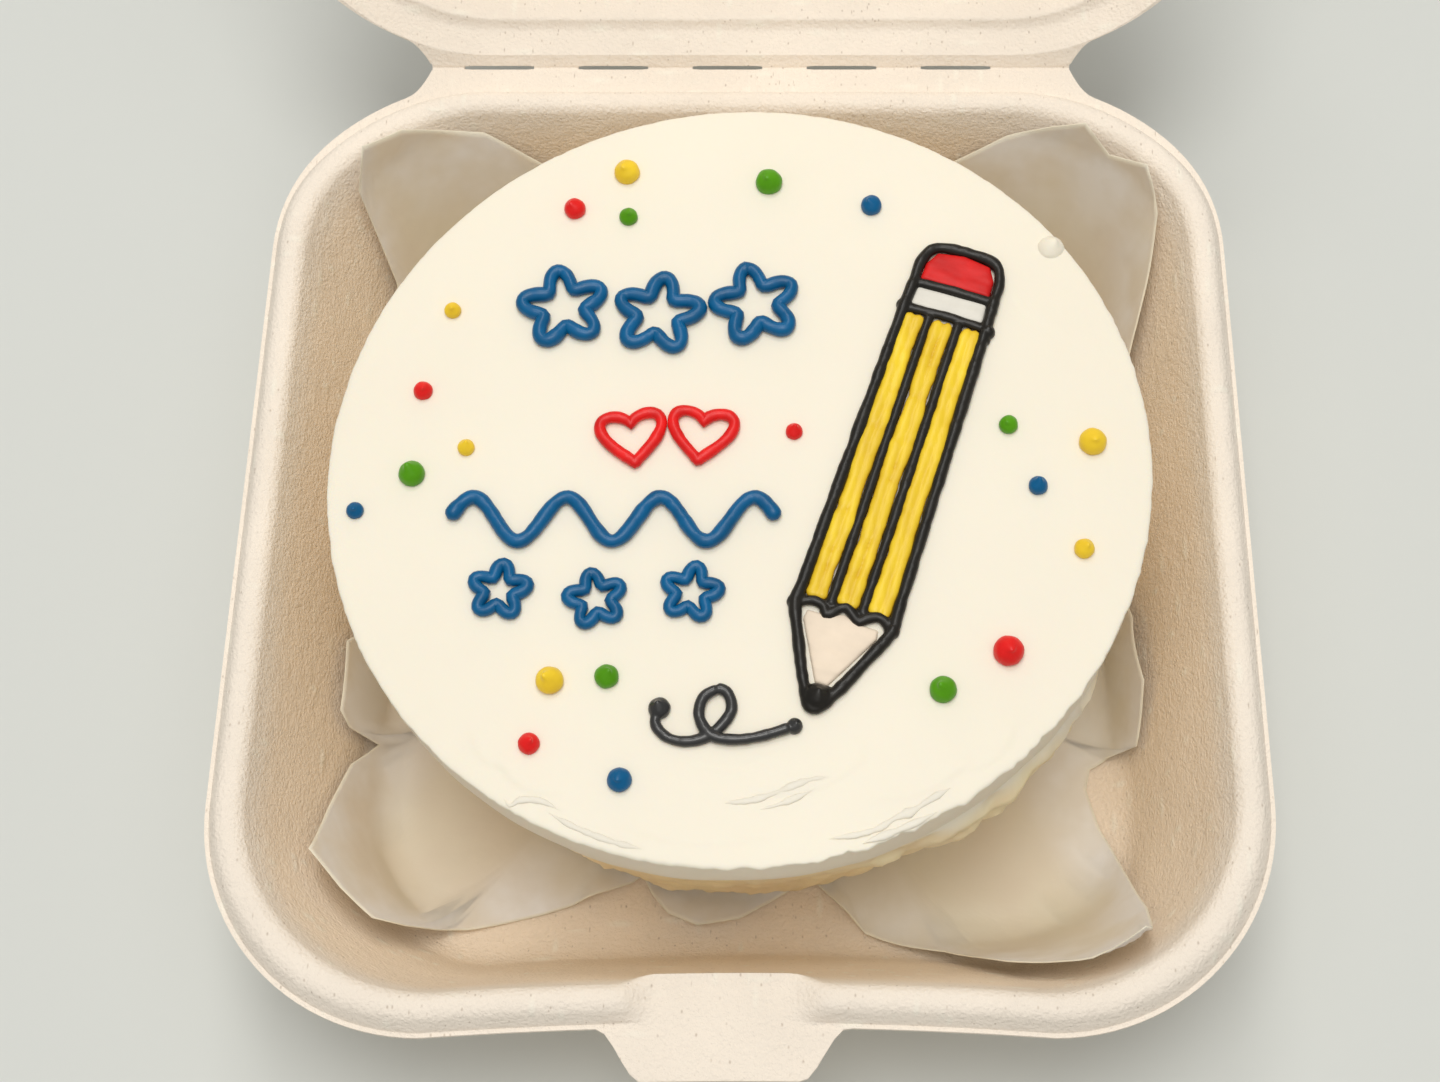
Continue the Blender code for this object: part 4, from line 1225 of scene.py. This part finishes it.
def add_mesh(bm, mesh, flatten, height):
    """Adds a rope's mesh, flattened and lifted to a height, with its caps welded."""
    known = set(bm.verts)
    bm.from_mesh(mesh)
    bpy.data.meshes.remove(mesh)
    fresh = [vert for vert in bm.verts if vert not in known]
    for vert in fresh:
        vert.co.z = vert.co.z * flatten + height
    bmesh.ops.remove_doubles(bm, verts=fresh, dist=0.000004)


def finish_icing(name, bm, material, node, voxel=0.0):
    """One piece from ropes: where they cross, they are melted into one skin."""
    bmesh.ops.recalc_face_normals(bm, faces=bm.faces[:])
    piece = from_bmesh(name, bm, material, sharp=180.0)
    if voxel:
        remesh = piece.modifiers.new("Melt", "REMESH")
        remesh.mode = "VOXEL"
        remesh.voxel_size = voxel
        remesh.use_smooth_shade = True
        smooth = piece.modifiers.new("Settle", "SMOOTH")
        smooth.factor = 0.5
        smooth.iterations = 3
        mesh = evaluated_mesh(piece)
        mesh.name = name
        piece = place(name, mesh, material)
        mesh.shade_smooth()
    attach(piece, "base")
    if node:
        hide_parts(node)
    return piece


def star_path(x, y, radius, lean):
    points = []
    for step in range(120):
        angle = 2 * math.pi * step / 120
        reach = radius * (0.76 + 0.24 * math.cos(5 * angle))
        heading = angle + math.pi / 2 + lean
        points.append((x + reach * math.cos(heading), y + reach * math.sin(heading)))
    return points


def heart_path(x, y, size, lean):
    points = []
    for step in range(96):
        angle = 2 * math.pi * (step + 0.5) / 96
        across = 0.5 * math.sin(angle) ** 3
        along = 0.41 * math.cos(angle) - 0.17 * math.cos(2 * angle) - 0.06 * math.cos(3 * angle)
        turned = Vector((across * size, along * size))
        turned.rotate(Matrix.Rotation(lean, 2))
        points.append((x + turned.x, y + turned.y))
    return points


def pencil_point(across, along):
    """A place on the drawn pencil, given in millimetres from its tip, as X and Y."""
    along_x, along_y = math.sin(PENCIL_LEAN), math.cos(PENCIL_LEAN)
    x = PENCIL_X + (across * along_y + along * along_x) / 1000
    y = PENCIL_Y + (along * along_y - across * along_x) / 1000
    return x, y


def pencil_path(knots, closed=False):
    return through([pencil_point(*knot) for knot in knots], 12, closed)


class BENTO_OT_dots(bpy.types.Operator):
    """Make the small piped dots, one piece for each colour, and the nub of frosting."""

    bl_idname = "bento.dots"
    bl_label = "Dots"

    def execute(self, context):
        icing = context.scene.bento_icing
        for name, spots in DOTS.items():
            bm = bmesh.new()
            for index, (x, y, width) in enumerate(spots):
                peak = 0.18 + 0.14 * (index % 3)
                icing_drop(bm, x / 1000, y / 1000, width / 1000, peak, 2.4 * index + width)
            tint = tuple(getattr(icing, name))
            material = icing_material(f"{name}_dot_icing", tint)
            finish_icing(f"dots_{name}", bm, material, None)
        bm = bmesh.new()
        icing_drop(bm, 0.0463, 0.0367, 0.0044, 0.2, 0.7, sunk=0.74)
        finish_icing("frosting_nub", bm, bpy.data.materials["buttercream"], None)
        return {"FINISHED"}


class BENTO_OT_pencil(bpy.types.Operator):
    """Make the piped pencil: black lines filled with yellow, white, red and pale icing."""

    bl_idname = "bento.pencil"
    bl_label = "Pencil"

    def outline(self, icing):
        right = [(2.4, 4.2), (5.0, 9.9), (7.1, 15.0), (7.0, 19.0), (6.7, 42.0), (6.4, 62.8)]
        right += [(6.2, 69.3), (6.1, 73.0), (4.6, 75.8)]
        left = [(-across, along) for across, along in reversed(right)]
        outer = pencil_path([(0.0, 0.9)] + right + [(0.0, 76.4)] + left, closed=True)
        bm = bmesh.new()
        outer = spaced(outer, LINE_STEP, True)
        mesh = rope_mesh("outer", outer, 0.0018, closed=True, lumps=0.16, seed=3.0)
        add_mesh(bm, mesh, 0.95, CAKE_TOP + 0.00060)
        lines = [[(side * 2.3, 15.6), (side * 2.35, 40.0), (side * 2.25, 64.8)] for side in (-1, 1)]
        lines += [[(-6.2, along), (0.0, along + 0.25), (6.2, along)] for along in (64.8, 69.3)]
        lines.append([
            (-7.1, 15.0), (-4.9, 16.0), (-3.2, 15.7), (-2.3, 14.6), (-0.2, 16.4), (2.1, 14.9),
            (3.0, 15.6), (4.9, 16.4), (7.1, 15.0),
        ])
        for index, line in enumerate(lines):
            path = spaced(pencil_path(line), LINE_STEP)
            mesh = rope_mesh("line", path, 0.00155, lumps=0.16, seed=5.0 + index)
            add_mesh(bm, mesh, 0.92, CAKE_TOP + 0.00050)
        knobs = [(0.0, 2.6, 3.9), (0.9, 3.6, 2.2), (-7.3, 15.1, 2.2), (7.0, 15.0, 2.3)]
        knobs += [(-6.6, 65.1, 2.1), (-6.3, 63.6, 1.8), (6.7, 64.5, 2.3), (6.6, 63.1, 1.9)]
        for across, along, width in knobs:
            x, y = pencil_point(across, along)
            icing_drop(bm, x, y, width / 1000, 0.15, 1.0)
        material = icing_material("black_icing", tuple(icing.black), 0.33, 0.3)
        finish_icing("piped_outline", bm, material, "pencil_outline", voxel=0.00019)

    def stripes(self, icing):
        # The yellow turns darker orange where the stripes lie low: painted shade along their edges
        material = icing_material(
            "yellow_icing", tuple(icing.yellow), 0.34, 0.2, stretch=(1.6, 0.16, 1.0),
            turn=PENCIL_LEAN, low=(0.62, 0.30, 0.008),
        )
        foot, head = 16.2, 64.2
        spans = [(-6.25, -5.75, -2.95, -2.95), (-1.65, -1.65, 1.65, 1.65), (2.95, 2.95, 6.25, 5.75)]
        for index, (left_low, left_high, right_low, right_high) in enumerate(spans, start=1):
            bm = bmesh.new()
            for share, width in ((0.29, 0.0020), (0.72, 0.0018)):
                low = left_low + (right_low - left_low) * share
                high = left_high + (right_high - left_high) * share
                knots = []
                for step in range(9):
                    t = step / 8
                    sway = 0.12 * math.sin(5.1 * t * math.pi + index + 4 * share)
                    knots.append((low + (high - low) * t + sway, foot + (head - foot) * t))
                path = spaced(pencil_path(knots), LINE_STEP)
                mesh = rope_mesh("stripe", path, width, lumps=0.22, seed=11.0 + index + share)
                add_mesh(bm, mesh, 0.62, CAKE_TOP + 0.00050)
            finish_icing(
                f"piped_stripe_{index}", bm, material, f"pencil_stripe_{index}",
                voxel=0.00022,
            )

    def fill(self, name, corners, height, material, slot, node):
        """A patch of icing between lines, domed and slightly rippled."""
        bm = bmesh.new()
        spots = [bm.verts.new((*pencil_point(*corner), CAKE_TOP - 0.0003)) for corner in corners]
        face = bm.faces.new(spots)
        if face.normal.z > 0:
            face.normal_flip()
        drawn = bmesh.ops.extrude_face_region(bm, geom=[face])["geom"]
        moved = [item for item in drawn if isinstance(item, bmesh.types.BMVert)]
        bmesh.ops.translate(bm, vec=(0, 0, height * 0.6 + 0.0003), verts=moved)
        bmesh.ops.recalc_face_normals(bm, faces=bm.faces[:])
        for thickness, rise in ((0.0003, 0.25), (0.0006, 0.12)):
            top = max(bm.faces, key=lambda item: item.calc_center_median().z)
            bmesh.ops.inset_region(bm, faces=[top], thickness=thickness, depth=0.0)
            bmesh.ops.translate(bm, vec=(0, 0, height * rise), verts=list(top.verts))
        piece = from_bmesh(name, bm, material, sharp=180.0)
        remesh = piece.modifiers.new("Melt", "REMESH")
        remesh.mode = "VOXEL"
        remesh.voxel_size = 0.0002
        smooth = piece.modifiers.new("Settle", "SMOOTH")
        smooth.iterations = 8
        mesh = evaluated_mesh(piece)
        for vert in mesh.vertices:
            x, y = vert.co.x - PENCIL_X, vert.co.y - PENCIL_Y
            along = x * math.sin(PENCIL_LEAN) + y * math.cos(PENCIL_LEAN)
            across = x * math.cos(PENCIL_LEAN) - y * math.sin(PENCIL_LEAN)
            ripple = noise.noise(Vector((across * 260, along * 950, 1.0)))
            if vert.co.z > CAKE_TOP + 0.0002:
                vert.co.z += 0.00013 * ripple
        piece = place(name, mesh, material)
        mesh.shade_smooth()
        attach(piece, "base")
        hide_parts(node)

    def execute(self, context):
        icing = context.scene.bento_icing
        self.outline(icing)
        self.stripes(icing)
        wood = [(-0.9, 4.6), (0.9, 4.6), (5.4, 13.2), (5.2, 14.6), (2.6, 14.6), (0.0, 15.4)]
        wood += [(-2.6, 14.6), (-5.2, 14.6), (-5.4, 13.2)]
        ferrule = [(-5.6, 65.4), (5.6, 65.4), (5.4, 68.8), (-5.4, 68.8)]
        eraser = [(-5.4, 69.8), (5.4, 69.8), (5.3, 72.8), (4.1, 75.0), (0.0, 75.7), (-4.1, 75.0)]
        eraser += [(-5.3, 72.8)]
        pale = icing_material("wood_icing", tuple(icing.wood), 0.5, 0.06)
        white = icing_material("white_icing", tuple(icing.white), 0.45, 0.05)
        red = icing_material("red_fill_icing", shaded(icing.red, 0.85), 0.5, 0.18)
        self.fill("piped_wood", wood, 0.0006, pale, "pale_icing", "pencil_wood")
        self.fill("piped_ferrule", ferrule, 0.0008, white, "white_icing", "pencil_ferrule")
        self.fill("piped_eraser", eraser, 0.0012, red, "red_icing", "pencil_eraser")
        return {"FINISHED"}


class BENTO_OT_squiggle(bpy.types.Operator):
    """Make the black line that the pencil has drawn."""

    bl_idname = "bento.squiggle"
    bl_label = "Squiggle"

    def execute(self, context):
        first = [(-10.7, -36.6), (-11.2, -38.7), (-9.4, -40.7), (-6.4, -41.2), (-3.3, -40.0)]
        first += [(-0.9, -37.0), (-1.4, -34.3), (-3.2, -33.5)]
        second = [(-2.5, -33.6), (-4.7, -35.0), (-5.2, -37.8), (-3.5, -40.4), (-0.3, -41.0)]
        second += [(3.3, -40.5), (7.4, -39.2)]
        bm = bmesh.new()
        for index, strand in enumerate((first, second)):
            path = through([(x / 1000, y / 1000) for x, y in strand], 12)
            path = spaced(path, ROPE_STEP)
            mesh = rope_mesh("strand", path, 0.0016, lumps=0.14, seed=21.0 + index)
            add_mesh(bm, mesh, 0.95, CAKE_TOP + 0.00048 + 0.0002 * index)
        icing_drop(bm, -0.0107, -0.0365, 0.0031, 0.2, 2.0)
        icing_drop(bm, 0.0078, -0.0390, 0.0023, 0.2, 0.3)
        material = bpy.data.materials["black_icing"]
        finish_icing("piped_squiggle", bm, material, "squiggle", voxel=0.00016)
        return {"FINISHED"}


class BENTO_OT_motifs(bpy.types.Operator):
    """Make the piped stars, hearts and wave."""

    bl_idname = "bento.motifs"
    bl_label = "Stars, hearts and wave"

    def pipe(self, node, path, width, material, slot, closed, seed):
        bm = bmesh.new()
        rope = rope_mesh(node, path, width, closed=closed, lumps=0.12, ends=(1.15, 1.1), seed=seed)
        add_mesh(bm, rope, 0.95, CAKE_TOP + width * 0.36)
        finish_icing(f"piped_{node}", bm, material, node)

    def execute(self, context):
        icing = context.scene.bento_icing
        blue = icing_material("blue_icing", tuple(icing.blue), 0.32, 0.22)
        red = icing_material("red_icing", tuple(icing.red), 0.34, 0.2)
        stars = [(-26.8, 26.0, 6.2, 10), (-12.6, 24.8, 6.2, -8), (1.8, 26.5, 6.2, 14)]
        stars += [(-33.6, -19.2, 4.0, -6), (-20.1, -20.5, 4.0, 12), (-6.7, -19.5, 4.0, -10)]
        for index, (x, y, radius, lean) in enumerate(stars, start=1):
            path = star_path(x / 1000, y / 1000, radius / 1000, math.radians(lean))
            width = icing.blue_width * (1.0 if index <= 3 else 0.85)
            path = spaced(path, ROPE_STEP, True)
            self.pipe(f"star_{index}", path, width, blue, "blue_icing", True, 31.0 + index)
        for index, (x, y, lean) in enumerate([(-15.9, 5.0, 8), (-5.7, 5.4, -7)], start=1):
            heart = heart_path(x / 1000, y / 1000, 0.0090, math.radians(lean))
            path = spaced(heart, ROPE_STEP, True)
            self.pipe(f"heart_{index}", path, icing.red_width, red, "red_icing", True, 41.0 + index)
        wave = []
        for step in range(181):
            share = step / 180
            x = -0.0415 + 0.0468 * share
            wave.append((x, -0.0084 + 0.0034 * math.sin(2 * math.pi * 3.5 * share)))
        wave = spaced(wave, ROPE_STEP)
        self.pipe("wave", wave, icing.blue_width, blue, "blue_icing", False, 51.0)
        return {"FINISHED"}


# Stage

# The lens, where the camera stands over the lip's plane, how steeply it looks down, and the crop
LENS = 50.0
CAMERA_PLACE = Vector((0.0101821, -0.1213715, 0.2765725))
CAMERA_PITCH = 1.1730759
CAMERA_SHIFT = -91.99 / 1440


class BENTO_OT_stage(bpy.types.Operator):
    """Lay the floor, hang the lights and set up the camera."""

    bl_idname = "bento.stage"
    bl_label = "Floor, lights and camera"

    def area(self, name, place, size, power, tint):
        light = bpy.data.lights.new(name, "AREA")
        light.shape = "DISK"
        light.size = size
        light.energy = power
        light.color = tint
        lamp = bpy.data.objects.new(name, light)
        lamp.location = place
        lamp.rotation_euler = (-Vector(place)).to_track_quat("-Z", "Y").to_euler()
        bpy.context.scene.collection.objects.link(lamp)

    def execute(self, context):
        scene = context.scene
        settings = scene.bento_stage
        bm = bmesh.new()
        bmesh.ops.create_grid(bm, x_segments=1, y_segments=1, size=9.0)
        bmesh.ops.translate(bm, vec=(0.0, 0.0, -0.0002), verts=bm.verts[:])
        material, tree, shader, spot = new_material("floor")
        drift = mottled(tree, spot, 3.0, settings.floor, 0.99, 1.0)
        tree.links.new(drift, shader.inputs["Base Color"])
        shader.inputs["Roughness"].default_value = 0.8
        floor = from_bmesh("floor", bm, material)
        world = bpy.data.worlds.new("Studio")
        world.use_nodes = True
        background = world.node_tree.nodes["Background"]
        background.inputs["Color"].default_value = (1.0, 0.985, 0.955, 1.0)
        background.inputs["Strength"].default_value = settings.sky
        scene.world = world
        scene.view_settings.view_transform = "Standard"
        tint = (1.0, 0.985, 0.955)
        self.area("key_light", (-0.04, 0.46, 0.82), 0.28, settings.key, tint)
        self.area("high_light", (0.0, 0.02, 0.98), 0.45, settings.high, tint)
        self.area("top_light", (0.0, -0.15, 1.0), 1.40, settings.top, tint)
        lens = bpy.data.cameras.new("camera")
        lens.lens = LENS
        lens.sensor_width = 36.0
        lens.shift_x = CAMERA_SHIFT
        lens.clip_start = 0.01
        camera = bpy.data.objects.new("camera", lens)
        camera.location = CAMERA_PLACE + Vector((0.0, 0.0, LIP_Z))
        camera.rotation_euler = (math.pi / 2 - CAMERA_PITCH, 0.0, 0.0)
        scene.collection.objects.link(camera)
        scene.camera = camera
        return {"FINISHED"}


class BENTO_PT_panel(bpy.types.Panel):
    """Lists the settings and the pieces."""

    bl_label = "Bento cake"
    bl_idname = "BENTO_PT_panel"
    bl_space_type = "VIEW_3D"
    bl_region_type = "UI"
    bl_category = "Bento cake"

    def draw(self, context):
        layout = self.layout
        for label, name in SETTINGS:
            box = layout.box()
            box.label(text=label)
            group = getattr(context.scene, name)
            for key in group.bl_rna.properties.keys():
                if key not in ("rna_type", "name"):
                    box.prop(group, key)
        for operator in OPERATORS:
            layout.operator(operator.bl_idname)


SETTINGS = [
    ("Box", "bento_box"), ("Paper", "bento_paper"), ("Icing", "bento_icing"),
    ("Stage", "bento_stage"),
]
GROUPS = [BentoBoxSettings, BentoPaperSettings, BentoIcingSettings, BentoStageSettings]
OPERATORS = [
    BENTO_OT_box_base, BENTO_OT_box_lid, BENTO_OT_hinge_webs, BENTO_OT_paper, BENTO_OT_cake,
    BENTO_OT_dots, BENTO_OT_pencil, BENTO_OT_squiggle, BENTO_OT_motifs, BENTO_OT_stage,
]


def register():
    for group in GROUPS + OPERATORS + [BENTO_PT_panel]:
        bpy.utils.register_class(group)
    for (_, name), group in zip(SETTINGS, GROUPS):
        setattr(bpy.types.Scene, name, bpy.props.PointerProperty(type=group))


def unregister():
    for _, name in SETTINGS:
        delattr(bpy.types.Scene, name)
    for group in reversed(GROUPS + OPERATORS + [BENTO_PT_panel]):
        bpy.utils.unregister_class(group)


def main():
    register()
    bpy.ops.bento.box_base()
    bpy.ops.bento.box_lid()
    bpy.ops.bento.hinge_webs()
    bpy.ops.bento.paper()
    bpy.ops.bento.cake()
    bpy.ops.bento.dots()
    bpy.ops.bento.pencil()
    bpy.ops.bento.squiggle()
    bpy.ops.bento.motifs()
    bpy.ops.bento.stage()


if __name__ == "__main__":
    main()
